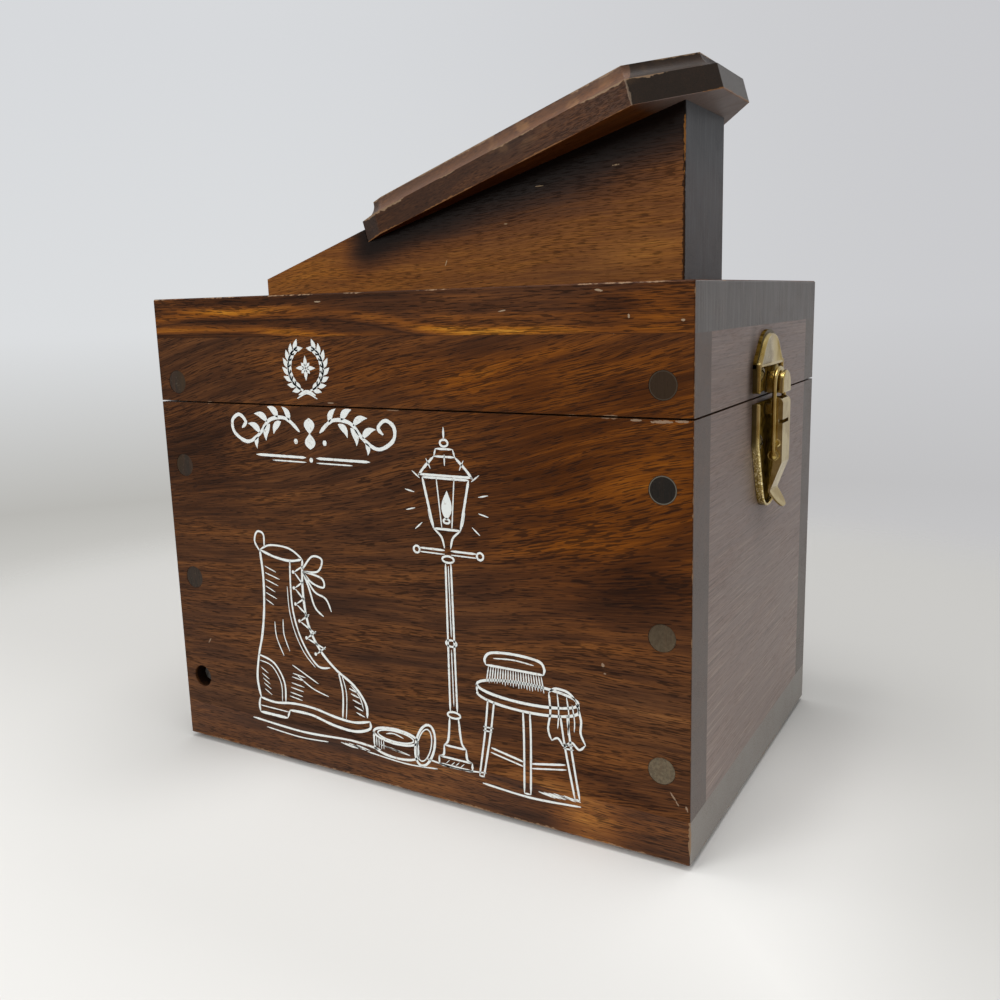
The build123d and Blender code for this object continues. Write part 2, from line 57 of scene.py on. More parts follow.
# The photographer's camera, solved from the corners of the box
EYE = Vector((0.25457, -0.43965, 0.2263))
YAW, PITCH, ROLL = radians(30.43), radians(-10.64), radians(-1.67)
LENS, SENSOR = 35.12, 36.0
SHIFT = (0.0084, -0.0150)


def corner(node, high, axis):
    """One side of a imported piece's box, in millimetres."""
    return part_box(node)[high][axis] / MM


# Sizes in millimetres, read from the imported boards
HALF_LENGTH = corner("lid_top_board", 1, 0)
HALF_DEPTH = corner("lid_top_board", 1, 1)
TOP = corner("lid_top_board", 1, 2)
CEILING = corner("lid_top_board", 0, 2)
UNDERSIDE = corner("bottom_board", 0, 2)
SAW_LINE = (corner("front_board", 1, 2) + corner("lid_front_board", 0, 2)) / 2
RISER_END = corner("footrest_riser", 1, 0)
RISER_HALF = corner("footrest_riser", 1, 1)

OPEN_HOLE = (-127.3, 36.3)
PLUG_COLUMN = 127.5
RIMMED_PLUGS = ((154.6, "#0d0d0b", 0.5), (194.1, "#2a1a07", 0.1))

# The footrest plate: its seat on the riser, its slope and its outline along and across the slope
SEAT = (-56.8, 0, TOP + 25.9)
SLOPE = radians(16.18)
UPHILL, SQUARE_OFF = (cos(SLOPE), 0, sin(SLOPE)), (-sin(SLOPE), 0, cos(SLOPE))
PLATE_LENGTH, PLATE_BAND, PLATE_THICKNESS = 189.3, 10.8, 18.8
LOW_CUT, HIGH_CUT, COVE_INSET = 11.9, 29.2, 6.5
PLATE_CORNERS = ((0, 26.8), (LOW_CUT, 31.5), (PLATE_LENGTH - HIGH_CUT, 50.7), (PLATE_LENGTH, 18.8))

# Places on the latch, out from the wood, across and up from the saw line
BASE_SCREWS = (1.5, 13.8, -19.5)
KEEPER_SCREWS = (1.5, 12.2, 10.4)
RIVET = (6.5, -26.0)
RIVET_SEAT, RIVET_HEAD, RIVET_RISE = 8.5, 1.85, 0.9
BAIL_HALF, BAIL_TOP, BAIL_FOOT, BAIL_WIRE = 8.2, 12.0, -25.4, 1.0
EYE_INNER, EYE_OUTER, EYE_RADIUS, EYE_BEVEL = 7.25, 8.35, 2.45, 0.2
DIMPLE = (7.5, 6.68, -20.5)


def linear(code):
    """Scene colour of an '#rrggbb' screen colour."""
    parts = [int(code[i : i + 2], 16) / 255 for i in (1, 3, 5)]
    return (*(c / 12.92 if c <= 0.04045 else ((c + 0.055) / 1.055) ** 2.4 for c in parts), 1.0)


# Node trees


class Value:
    """A socket that is used like a number: arithmetic on it adds Math nodes."""

    def __init__(self, nodes, socket):
        self.nodes = nodes
        self.socket = socket

    def math(self, operation, *others):
        return self.nodes.node("Math", {"operation": operation}, (self, *others))

    def __add__(self, other):
        return self.math("ADD", other)

    def __sub__(self, other):
        return self.math("SUBTRACT", other)

    def __mul__(self, other):
        return self.math("MULTIPLY", other)

    def __truediv__(self, other):
        return self.math("DIVIDE", other)

    def __rsub__(self, other):
        return self * -1 + other

    def __abs__(self):
        return self.math("ABSOLUTE")

    __radd__ = __add__
    __rmul__ = __mul__

    def least(self, other):
        return self.math("MINIMUM", other)

    def most(self, other):
        return self.math("MAXIMUM", other)

    def rise(self, low, high):
        """0 below low, 1 above high, smooth between."""
        limits = {"From Min": low, "From Max": high}
        smooth = {"interpolation_type": "SMOOTHSTEP"}
        return self.nodes.node("MapRange", smooth, {"Value": self, **limits})

    def near(self, centre, reach):
        """1 at centre, 0 beyond reach on both sides."""
        return (1 - abs(self - centre) / reach).rise(0, 1)

    def beside(self, other):
        """Distance from two offsets that are square to each other."""
        return (self * self + other * other).math("SQRT")

    def clip(self):
        return self.nodes.node("Clamp", {}, (self,))


class Nodes:
    """A node tree while it is put together."""

    def __init__(self, tree):
        self.tree = tree

    def node(self, kind, settings, inputs, output=0):
        """Adds a shader node: its settings first, a ramp's stops among them, then its inputs."""
        made = self.tree.nodes.new("ShaderNode" + kind)
        for key, value in settings.items():
            if key == "stops":
                self.set_stops(made.color_ramp.elements, value)
            else:
                setattr(made, key, value)
        pairs = inputs.items() if isinstance(inputs, dict) else enumerate(inputs)
        for key, value in pairs:
            self.feed(made.inputs[key], value)
        return Value(self, made.outputs[output]) if made.outputs else None

    def set_stops(self, elements, stops):
        while len(elements) < len(stops):
            elements.new(0.5)
        for element, (position, code) in zip(elements, stops):
            element.position = position
            element.color = linear(code)

    def feed(self, socket, value):
        if isinstance(value, Value):
            self.tree.links.new(value.socket, socket)
        else:
            socket.default_value = value

    def noise(self, x, y, z, detail=2.0, roughness=0.5):
        place = self.node("CombineXYZ", {}, (x, y, z))
        inputs = {"Vector": place, "Scale": 1.0, "Detail": detail, "Roughness": roughness}
        return self.node("TexNoise", {}, inputs)

    def ramp(self, value, stops):
        return self.node("ValToRGB", {"stops": stops}, (value,))

    def mix(self, amount, low, high):
        """Blend of two colours."""
        low, high = (linear(color) if isinstance(color, str) else color for color in (low, high))
        return self.node("Mix", {"data_type": "RGBA"}, {0: amount, 6: low, 7: high}, 2)


class Paint(Nodes):
    """A procedural material."""

    def __init__(self, name):
        self.material = bpy.data.materials.new(name)
        self.material.use_nodes = True
        super().__init__(self.material.node_tree)
        self.shader = self.tree.nodes["Principled BSDF"]

    def finish(self, **inputs):
        """Sets the Principled shader's inputs and returns the material."""
        for key, value in inputs.items():
            self.feed(self.shader.inputs[key.replace("_", " ")], value)
        return self.material

    def place(self):
        return self.node("TexCoord", {}, (), "Object")

    def along(self, direction):
        """Millimetres along a direction of the frame."""
        settings = {"operation": "DOT_PRODUCT"}
        scaled = tuple(Vector(direction) / MM)
        return self.node("VectorMath", settings, (self.place(), scaled), "Value")

    def cloud(self, size, seed=0.0, detail=2.0):
        """Noise of one size in millimetres."""
        x, y, z = (self.along(axis) for axis in (X, Y, Z))
        return self.noise(x / size + seed, y / size, z / size, detail)

    def bump(self, height, distance, strength=1.0):
        inputs = {"Height": height, "Distance": distance, "Strength": strength}
        return self.node("Bump", {}, inputs)

    def patch(self, u, v, spot):
        """Soft oval: spot is (u, v, half length, half width, tilt in degrees)."""
        centre_u, centre_v, length, width, tilt = spot
        c, s = cos(radians(tilt)), sin(radians(tilt))
        du, dv = u - centre_u, v - centre_v
        along = (du * c + dv * s) / length
        across = (dv * c - du * s) / width
        return (1 - along.beside(across)).rise(0, 1)


# Woods

# Depth of stain, and its colour on cool and on warm wood
TONES = (
    (0.00, "#150c08", "#140803"),
    (0.22, "#2a1a12", "#2e1505"),
    (0.42, "#472d1d", "#512a0b"),
    (0.60, "#664329", "#7a430f"),
    (0.80, "#8a6340", "#a5651a"),
    (1.00, "#b28b5c", "#d69d3a"),
)
# Millimetres: heights between which the grain's lean changes, its drift, and its finest widths
LEANING, WANDER, FIBRE, DASH = (70, 160), 14, 0.5, 0.42
DARK_PORE = "#140b07"
BARE_WOOD = "#97795c"
SATIN = 0.14


class Wood(Paint):
    """Stained wood with its grain along the first of three axes, which turn with the board.

    lean is the grain's rise at the foot and at the head of the box. Tone runs from the darkest
    to the palest stain, and heat from brown to orange; figure is the strength of its bands."""

    def __init__(self, name, axes, seed, lean=(0.0, 0.0), base=0.45, heat=0.4, pore=1.0, figure=1.0):
        super().__init__(name)
        self.u, self.v, self.w = (self.along(axis) for axis in axes)
        u, v, w = self.u, self.v, self.w
        drift = self.noise(u / 130 + seed, v / 50, w / 50, 1.0)
        foot, head = lean
        level = v - u * (foot + v.rise(*LEANING) * (head - foot)) + (drift - 0.5) * WANDER
        clouds = self.noise(u / 60 + seed, level / 14, w / 14, 2.0) - 0.5
        bands = self.noise(u / 70, level / 4 + seed, w / 4, 2.0, 0.6) - 0.5
        fibres = self.noise(u / 20, level / FIBRE, w / FIBRE + seed, 2.0, 0.7)
        dashes = self.noise(u / 6, level / DASH + seed, w / DASH, 1.0, 0.4)
        self.fibres = fibres
        self.ragged = self.cloud(0.8, seed + 3)
        self.pores = (dashes + clouds * 0.4).rise(0.54, 0.64) * pore
        self.tone = base + (clouds * 0.42 + bands * 0.44) * figure + (fibres - 0.5) * 0.44
        self.heat = heat + clouds * 0.6 + bands * 0.3

    def pools(self, *pools):
        """Darker or paler ovals: the change of tone, then the spot."""
        for amount, *spot in pools:
            self.tone = self.tone + self.patch(self.u, self.v, spot) * amount

    def glows(self, *glows):
        """Warmer or cooler ovals: the change of heat, then the spot."""
        for amount, *spot in glows:
            self.heat = self.heat + self.patch(self.u, self.v, spot) * amount

    def stain(self):
        """Settles the colour from the tone and the heat; what follows lies on it."""
        cool = self.ramp(self.tone, [(depth, code) for depth, code, _ in TONES])
        warm = self.ramp(self.tone, [(depth, code) for depth, _, code in TONES])
        self.color = self.mix(self.heat.clip(), cool, warm)
        self.veil(self.pores * 0.68, DARK_PORE)

    def veil(self, mask, code):
        self.color = self.mix(mask, self.color, code)

    def chips(self, code, *spots):
        """Small bare marks with ragged edges."""
        for spot in spots:
            broken = self.patch(self.u, self.v, spot) * (self.ragged * 3 - 0.5)
            self.veil(broken.rise(0.26, 0.40) * 0.8, code)

    def worn(self, distance, reach=1.5, code=BARE_WOOD, amount=0.8, seed=0.0):
        """Bare wood along an edge, broken into lengths and chips."""
        stretches = self.cloud(26, seed, 1.0).rise(0.36, 0.62)
        ragged = self.cloud(2.2, seed, 2.0) * reach * (0.35 + stretches)
        self.veil((ragged - distance - reach * 0.18).rise(0, 0.25) * amount, code)

    def done(self, shine=0.3, gloss=SATIN, relief=0.10):
        return self.finish(
            Base_Color=self.color,
            Roughness=shine + self.fibres * 0.14 + self.pores * 0.2,
            Specular_IOR_Level=gloss,
            Normal=self.bump(self.fibres * 0.5 - self.pores * 0.6, relief * MM, 0.5),
        )


def seat_along(direction):
    """How far along a direction the plate's seat lies."""
    return sum(a * b for a, b in zip(SEAT, direction))


def outer_arris(paint):
    """Millimetres from the closed box's nearest outer edge, along its surface."""
    x, y, z = (paint.along(axis) for axis in (X, Y, Z))
    middle = (TOP + UNDERSIDE) / 2
    a = HALF_LENGTH - abs(x)
    b = HALF_DEPTH - abs(y)
    c = (TOP - UNDERSIDE) / 2 - abs(z - middle)
    return a.least(b).most(a.most(b).least(c))


def on_end(paint):
    """1 on the faces at the two ends of the box."""
    return abs(paint.along(X)).rise(HALF_LENGTH - 0.35, HALF_LENGTH - 0.15)


def saw_edge(wood):
    """Chips along the cut between case and lid, and the barer wood of the sawn rims."""
    gap = abs(wood.along(Z) - SAW_LINE) - 0.4
    inward = (HALF_LENGTH - abs(wood.along(X))).least(HALF_DEPTH - abs(wood.along(Y)))
    stretches = wood.cloud(17, 4.4, 1.0).rise(0.56, 0.7)
    ragged = wood.cloud(1.8, 2.7) * 1.5 * stretches
    wood.veil(gap.rise(0.05, 0.02) * (0.35 + wood.cloud(2.6, 1.7) * 0.3), "#6b4c35")
    wood.veil((ragged - gap.most(inward) - 0.3).rise(0, 0.2) * 0.75, "#8f745d")


FRONT_GLOSS = 0.06


def front_wood():
    wood = Wood("front_wood", (X, Z, Y), 3.1, lean=(0.05, 0.22), base=0.47, heat=0.20)
    wood.pools(
        (-0.16, -120, 158, 60, 46, 0), (-0.20, -70, 6, 110, 26, 4), (-0.24, 120, 114, 44, 18, 12),
        (0.16, 118, 158, 36, 13, 14), (-0.12, 108, 194, 26, 8, 4), (0.06, 124, 60, 30, 22, 10),
        (-0.06, 60, 150, 120, 60, 14), (0.06, 60, 196, 60, 14, 16), (0.25, 78, 20, 44, 11, -8),
        (0.16, 22, 34, 50, 8, -2), (0.06, 120, 66, 34, 10, 0), (-0.12, 112, 28, 26, 6, -14),
    )
    wood.glows(
        (1.0, 120, 165, 140, 100, 8), (0.5, 20, 198, 150, 30, 0), (0.25, 90, 22, 90, 44, 0),
        (-0.3, -100, 12, 120, 46, 0),
    )
    wood.stain()
    saw_edge(wood)
    # painted shade: the walls of the open hole darkened nearly black
    deep = wood.w.rise(-HALF_DEPTH + 0.5, -HALF_DEPTH + 2)
    hole = wood.patch(wood.u, wood.v, (*OPEN_HOLE, 16, 16, 0)).rise(0.4, 0.6)
    wood.veil(deep * hole * 0.85, "#0d0806")
    # painted reflection: the end grain at both ends greyed, as a pale sheen
    wood.veil(on_end(wood) * 0.8, "#7c7571")
    wood.worn(outer_arris(wood), 0.9, seed=1.0)
    wood.chips(
        "#97806a", (-120, 57, 2.6, 0.5, 55), (-55, 3.2, 3.4, 0.5, 60), (5, 4, 3.2, 0.5, 55),
        (102.5, 81, 1.5, 1.0, 100), (103.5, 77.5, 1.0, 0.5, 0), (117, 180.8, 4.0, 0.7, 0),
        (127, 180.5, 7.0, 1.0, 1), (135, 180.9, 4.0, 0.8, 0), (133, 30, 5.0, 0.6, -55),
        (138, 27, 2.4, 0.7, -70), (125, 3.6, 7.0, 0.9, 0), (40, 3.2, 12.0, 0.6, 0),
        (-12, 12, 1.6, 0.5, 0), (-30, 183.4, 3.0, 0.5, 0),
    )
    return wood.done(gloss=FRONT_GLOSS)


def back_wood():
    wood = Wood("back_wood", (X, Z, Y), 8.6, lean=(0.02, 0.12), base=0.44, heat=0.42)
    wood.stain()
    saw_edge(wood)
    # painted reflection: the end grain at both ends greyed, as a pale sheen
    wood.veil(on_end(wood) * 0.8, "#77716c")
    wood.worn(outer_arris(wood), 1.4, seed=3.0)
    return wood.done()


def top_wood():
    """Top board: gold bands run along its front edge."""
    wood = Wood("top_board_wood", (X, Z, Y), 1.3, lean=(0.02, 0.02), base=0.40, heat=0.5)
    x, z = wood.u, wood.v
    front = wood.w.rise(-HALF_DEPTH + 3, -HALF_DEPTH + 0.5)
    wave = (wood.noise(x / 60, 3.3, 0.2, 1.0) - 0.5) * 5
    first = 224.4 - x.rise(-35, 48) * 10.2 - x.rise(-110, -142) * 2 + wave * 0.3
    second = 216.8 - x.rise(-85, -20) * 3.4 + wave * 0.3
    gold = z.near(first, 4.2) * (0.17 + x.near(44, 60) * 0.20 + x.near(-95, 60) * 0.16)
    gold = gold + z.near(second, 3.2) * (0.28 - x.rise(-30, 25) * 0.28)
    gold = gold + z.near(first + 5.4, 3.0) * x.near(70, 80) * 0.14
    gold = gold - z.near(first - 3.6, 0.8) * 0.10 - z.near(second - 2.4, 0.7) * 0.12
    wood.tone = wood.tone + gold * front
    wood.heat = wood.heat + gold * front * 1.4
    wood.pools(
        (-0.14, -62, 220.4, 44, 2.4, 0), (-0.12, -60, 229.8, 90, 3.6, 0),
        (0.08, 60, 228.0, 60, 4.0, 0), (-0.22, 110, 225, 15, 4.0, 0), (0.14, 126, 221, 30, 9, 0),
    )
    wood.glows((0.5, 122, 222, 50, 14, 0))
    wood.stain()
    seam = abs(z - CEILING)
    wood.veil(seam.rise(0.5, 0.1) * 0.4, DARK_PORE)
    # painted reflection: the end grain greyed as a sheen, with paler and darker streaks in it
    end = on_end(wood)
    threads = wood.noise(wood.w / 1.3, z / 22, 0.4, 2.0)
    wood.veil(end * 0.88, "#7d7a78")
    wood.veil(end * threads.rise(0.5, 0.68) * 0.16, "#9c9a9a")
    wood.veil(end * threads.rise(0.5, 0.34) * 0.25, "#5a5757")
    wood.worn(outer_arris(wood), 1.05, seed=5.0)
    wood.chips(
        "#a8937a", (114, 219.6, 0.8, 1.2, 0), (108, 212.4, 0.7, 1.3, 0), (102, 229.4, 2.6, 0.7, -8),
        (-34, 228.5, 3.4, 0.5, 0), (60, 222.6, 3.0, 0.4, 8), (135, 217.8, 1.2, 0.8, 0),
    )
    return wood.done(gloss=FRONT_GLOSS)


def end_wood():
    """End panels under a painted greyish-brown reflection, paler low down, finely scratched along the
    grain, and with painted shade beside the latch.
    """
    wood = Wood("end_panel_wood", (Y, Z, X), 5.5, lean=(0.01, 0.04), base=0.42, heat=0.12, pore=0.6)
    wood.stain()
    # painted reflection: the end faces greyed to a greyish brown, more of it low down; the scratches
    # lie on it
    outside = on_end(wood)
    low = wood.v.rise(190, 40)
    wood.veil(outside * (0.66 + low * 0.1), "#988780")
    scratch = wood.noise(wood.u / 46, wood.v / 0.7, wood.w / 20, 2.0, 0.6)
    wood.veil(outside * scratch.rise(0.54, 0.68) * (0.2 + low * 0.26), "#bba797")
    wood.veil(outside * scratch.rise(0.44, 0.34) * 0.32, "#4e4440")
    # painted shadow and brown reflection of the latch, on the latch end only: a soft dark patch round
    # it and a darker band beside the keeper
    latched = outside * wood.w.rise(0, 9)
    wood.veil(latched * wood.patch(wood.u, wood.v, (0, 164, 40, 60, 0)) * 0.7, "#4a3528")
    beside = wood.patch(wood.u, wood.v, (-22, SAW_LINE + 10, 9, 32, -8))
    wood.veil(latched * beside * 0.9, "#2e2014")
    saw_edge(wood)
    return wood.done(shine=0.34, gloss=0.3)


def bottom_wood():
    wood = Wood("bottom_board_wood", (X, Y, Z), 9.2, base=0.45, heat=0.3)
    wood.pools((0.26, 94, -HALF_DEPTH, 26, 60, 0), (0.12, 20, -HALF_DEPTH, 40, 60, 0))
    wood.glows((0.3, 94, -HALF_DEPTH, 40, 60, 0))
    wood.stain()
    # painted reflection: the end grain at both ends greyed, as a pale sheen
    wood.veil(on_end(wood) * 0.88, "#96918b")
    wood.worn(outer_arris(wood), 2.0, seed=7.0)
    return wood.done()


def riser_wood():
    """Riser, with painted shade where the plate's overhang shades it and a painted grey reflection on
    its high end.
    """
    lean = (0.06, 0.06)
    wood = Wood("riser_wood", (X, Z, Y), 2.4, lean, base=0.66, heat=0.64, pore=0.8, figure=0.5)
    below = seat_along(SQUARE_OFF) - wood.along(SQUARE_OFF)
    reach = 19 + wood.u.rise(-60, 90) * 16
    shade = (1 - below / reach).rise(0, 1) * wood.u.rise(-76, -54)
    wood.tone = wood.tone - shade * 0.5 + wood.u.rise(-70, -110) * 0.04
    wood.heat = wood.heat - shade * 0.8
    wood.pools((0.10, 88, 246, 40, 12, 8))
    wood.stain()
    wood.veil(shade * shade * 0.85, "#120b08")
    # painted reflection: the high end greyed as a sheen, with paler streaks
    end = wood.u.rise(RISER_END - 0.3, RISER_END - 0.1)
    threads = wood.noise(wood.w / 1.4, wood.v / 26, 0.7, 2.0)
    wood.veil(end * 0.9, "#5c5d5f")
    wood.veil(end * threads.rise(0.5, 0.68) * 0.16, "#84868a")
    arris = (RISER_END - wood.u).most(RISER_HALF - abs(wood.w))
    wood.veil((wood.cloud(2.4, 6.0) * 2.6 - arris).rise(0.2, 0.7) * 0.8, "#120b07")
    wood.worn(arris, 1.5, "#b0763a", 0.7, 2.0)
    wood.chips(
        "#b59a76", (-10, 245.6, 2.4, 0.5, 65), (42, 277.6, 3.2, 0.4, 2), (80, 283.5, 3.0, 0.45, 4),
        (24, 262, 1.4, 0.4, 0),
    )
    return wood.done(gloss=FRONT_GLOSS)


def plate_wood():
    """Footrest plate: worn pale along the arrises of its moulding; painted light warms its underside,
    and painted reflections pale its cove and grey its high end.
    """
    axes = (UPHILL, Y, SQUARE_OFF)
    wood = Wood("plate_wood", axes, 4.2, base=0.41, heat=0.1, pore=0.7, figure=0.55)
    up = wood.u - seat_along(UPHILL)
    over = wood.w - seat_along(SQUARE_OFF)
    cut_starts = PLATE_LENGTH - HIGH_CUT
    high_cut = up.rise(cut_starts - 0.2, cut_starts + 0.2)
    under = over.rise(0.3, 0.1)
    cove = over.rise(PLATE_BAND - 0.2, PLATE_BAND + 0.3)
    cove = cove * over.rise(PLATE_THICKNESS, PLATE_THICKNESS - 0.3)
    # painted light: the underside paler and warmer, as a bounced glow, and the cove a little paler, as
    # a painted reflection
    wood.tone = wood.tone + under * 0.12 + cove * 0.07 - high_cut * (1 - under) * 0.22
    wood.heat = wood.heat + under * 0.55 + cove * 0.1 + up.near(128, 40) * 0.1 - high_cut * 0.3
    wood.stain()
    # painted reflection: the high end face greyed
    wood.veil(up.rise(PLATE_LENGTH - 0.2, PLATE_LENGTH - 0.05) * 0.85, "#7d7976")
    wood.veil(high_cut * (1 - under) * 0.35, "#3a362f")
    # painted reflection: the cove paled and greyed
    wood.veil(cove * (1 - high_cut) * 0.3, "#80685a")
    wood.veil(under * up.rise(PLATE_LENGTH - 32, PLATE_LENGTH - 18) * 0.8, "#7c6d66")
    wood.veil(up.rise(LOW_CUT, LOW_CUT - 2) * (1 - under) * 0.6, "#2e2824")
    side = abs(wood.v)
    inside = up.least(PLATE_LENGTH - up)
    for (low, low_half), (high, high_half) in zip(PLATE_CORNERS, PLATE_CORNERS[1:]):
        run, widening = high - low, high_half - low_half
        slant = hypot(run, widening)
        inward = (low_half - side) * (run / slant) + (up - low) * (widening / slant)
        inside = inside.least(inward)
    ledge = abs(over - PLATE_BAND).most(inside)
    foot = abs(over).most(inside)
    brow = abs(over - PLATE_THICKNESS).most(abs(inside - COVE_INSET))
    kept = high_cut * up.rise(PLATE_LENGTH - 24, PLATE_LENGTH - 14)
    wood.worn(ledge + kept, 1.9, "#a08468", 0.8, 1.4)
    wood.worn(foot, 1.4, "#8f6238", 0.7, 3.4)
    wood.worn(brow, 1.5, "#a08468", 0.7, 5.4)
    mitre = abs(up - cut_starts).most(inside)
    wood.worn(mitre, 1.2, "#a8927c", 0.4, 8.1)
    rub = wood.cloud(9, 3.0).rise(0.52, 0.66) * up.near(120, 60)
    wood.veil(rub * over.rise(2, 14) * inside.rise(9, 7) * 0.35, "#a37c55")
    soles = wood.noise(up / 40, wood.v / 9, 0.5, 3.0).rise(0.5, 0.66)
    wood.veil(soles * inside.rise(10, 30) * over.rise(18, 18.6) * 0.35, "#8f7458")
    return wood.done(shine=0.34)


def plug_wood():
    """Dark plugs, each its own shade, with a painted highlight round the rims of two of them and fine
    cuts across them.
    """
    wood = Wood("plug_wood", (Z, X, Y), 6.6, base=0.36, heat=0.05, pore=0.8)
    wood.stain()
    shade = wood.cloud(38, 9.0, 0.0)
    wood.veil(0.72 - shade * 0.2, "#2b2924")
    wood.veil(wood.cloud(1.0, 2.0).rise(0.62, 0.74) * 0.3, "#6c6553")
    wood.veil(shade.rise(0.48, 0.6) * 0.5, "#3c2d1a")
    mottle = wood.cloud(1.1, 5.0).rise(0.36, 0.66) * 0.14 + 0.22
    wood.veil(wood.u.rise(130, 50) * wood.v.rise(60, 100) * mottle, "#9b8c70")
    for z, code, glint in RIMMED_PLUGS:
        apart = (wood.v - PLUG_COLUMN).beside(wood.u - z)
        wood.veil(apart.rise(6, 5) * 0.72, code)
        # painted highlight round the plug's rim
        wood.veil(apart.near(5.35, 0.35) * glint, "#8f8878")
    return wood.done(shine=0.42)


# Metals, rubber and the printed white


def brass(name, tint, shade, rough=0.17):
    """Aged brass: painted shade darkens it in the hollows next to the wood; hammered on the foot of
    the latch, with painted glints there.
    """
    paint = Paint(name)
    cloud = paint.cloud(9, 1.0, 2.0)
    fine = paint.cloud(0.8, 4.0, 2.0)
    out = paint.along(X) - HALF_LENGTH
    across = abs(paint.along(Y))
    low = paint.along(Z).rise(SAW_LINE - 18, SAW_LINE - 26)
    hammered = low * across.rise(4, 8) * out.rise(5, 4)
    # painted shade: darker, matt and rougher where the brass lies close to the wood
    hollow_shade = out.rise(2.6, 1.7) * (1 - hammered)
    color = paint.mix(cloud.rise(0.34, 0.62), shade, tint)
    color = paint.mix(fine.rise(0.58, 0.70) * (0.1 + hammered * 0.7), color, "#5a4412")
    # painted glints: pale spots on the hammered foot
    color = paint.mix(fine.rise(0.46, 0.38) * hammered, color, "#fdeebb")
    color = paint.mix(hollow_shade * 0.85, color, "#33270f")
    return paint.finish(
        Base_Color=color,
        Metallic=1.0,
        Roughness=rough + fine * 0.08 + hollow_shade * 0.2,
        Normal=paint.bump(fine * (0.05 + hammered * 2) + cloud * 0.3, 0.09 * MM, 0.6),
    )


def hollow_brass():
    """Brass in the latch's hollows as a dark matt copy: painted shade, with lighter streaks."""
    paint = Paint("hollow_brass")
    cloud = paint.cloud(3, 6.0, 3.0)
    streak = paint.noise(0.3, paint.along(Y) / 1.1, paint.along(Z) / 14, 2.0)
    color = paint.mix(cloud.rise(0.35, 0.65), "#45320f", "#6f5520")
    color = paint.mix(streak.rise(0.56, 0.68) * 0.6, color, "#937a3a")
    return paint.finish(Base_Color=color, Roughness=0.6, Specular_IOR_Level=0.0)


def dulled(name, code, dark, rough, metallic=0.0, size=3.0):
    """Plain finish with a cloudy change of shade."""
    paint = Paint(name)
    cloud = paint.cloud(size, 2.0, 3.0)
    return paint.finish(
        Base_Color=paint.mix(cloud.rise(0.35, 0.7), code, dark),
        Metallic=metallic,
        Roughness=rough + cloud * 0.15,
        Normal=paint.bump(cloud, 0.04 * MM, 0.4),
    )


def white_print():
    """White screen print, thin in places."""
    paint = Paint("white_print")
    rubbed = paint.cloud(1.5, 3.0, 3.0).rise(0.60, 0.72)
    color = paint.mix(rubbed * 0.5, "#e4e8e5", "#a3907e")
    return paint.finish(Base_Color=color, Roughness=0.5, Specular_IOR_Level=0.2)


def coat(material, *nodes):
    for name in nodes:
        slots = frame["nodes"][name].data.materials
        slots.clear()
        slots.append(material)


def soften(piece, width):
    """Rounds a piece's sharp edges, so that they catch the light."""
    edge = piece.modifiers.new("soft_edges", "BEVEL")
    edge.width = width * MM
    edge.segments = 2
    edge.limit_method = "ANGLE"
    edge.angle_limit = radians(35)


coat(front_wood(), "front_board", "lid_front_board")
coat(back_wood(), "back_board", "lid_back_board")
coat(top_wood(), "lid_top_board")
coat(end_wood(), "latch_end_panel", "hinge_end_panel", "lid_latch_end", "lid_hinge_end")
coat(bottom_wood(), "bottom_board")
coat(riser_wood(), "footrest_riser")
coat(plate_wood(), "footrest_plate")
coat(
    plug_wood(), "front_plugs", "back_plugs", "lid_front_plugs", "lid_back_plugs", "footrest_plugs"
)
coat(dulled("foot_rubber", "#1a1a1a", "#0c0c0c", 0.6), "feet")
LATCH_BRASS = brass("latch_brass", "#cbb67c", "#ad9350")
HOLLOW_BRASS = hollow_brass()
SCREW_BRASS = brass("screw_brass", "#a8935a", "#6b5a30", 0.22)
HINGE_BRASS = dulled("hinge_brass", "#ad914c", "#8d7539", 0.28, 1.0, 9.0)
STEEL = dulled("screw_steel", "#8f8d88", "#4e4a44", 0.34, 1.0)
coat(LATCH_BRASS, "latch_base", "latch_keeper", "latch_lever")
coat(LATCH_BRASS, "draw_bail", "bail_rivet", "lever_pin")
coat(SCREW_BRASS, "latch_base_screws", "keeper_screws", "case_leaf_screws", "lid_leaf_screws")
coat(HINGE_BRASS, "case_hinge_leaves", "lid_hinge_leaves", "hinge_pins")
coat(STEEL, "front_screws", "back_screws", "lid_front_screws", "lid_back_screws")
coat(STEEL, "bottom_screws", "riser_screws", "footrest_screws")
for softened in ("latch_lever", "feet", "footrest_riser", "footrest_plate"):
    soften(frame["nodes"][softened], 0.3)


# Pieces in mesh code


def added(name, data):
    """New object in the scene."""
    made = bpy.data.objects.new(name, data)
    bpy.context.scene.collection.objects.link(made)
    return made


def meshed(name, form):
    """New object from a form, which is used up."""
    mesh = bpy.data.meshes.new(name)
    form.to_mesh(mesh)
    form.free()
    return added(name, mesh)


def finished(name, form, body, material, replaced=()):
    """Object from a closed form, riding on a body of the frame."""
    bmesh.ops.recalc_face_normals(form, faces=form.faces)
    made = meshed(name, form)
    made.data.materials.append(material)
    made.data.shade_smooth()
    made.data.set_sharp_from_angle(angle=radians(40))
    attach(made, body)
    if replaced:
        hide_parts(*replaced)
    return made


def skin(form, rings):
    """Side faces between rings of corners; a ring of one corner is a tip."""
    count = max(len(ring) for ring in rings)
    for low, high in zip(rings, rings[1:]):
        for i in range(count):
            j = (i + 1) % count
            below = (low[i % len(low)], low[j % len(low)])
            above = (high[j % len(high)], high[i % len(high)])
            form.faces.new(tuple(dict.fromkeys(below + above)))


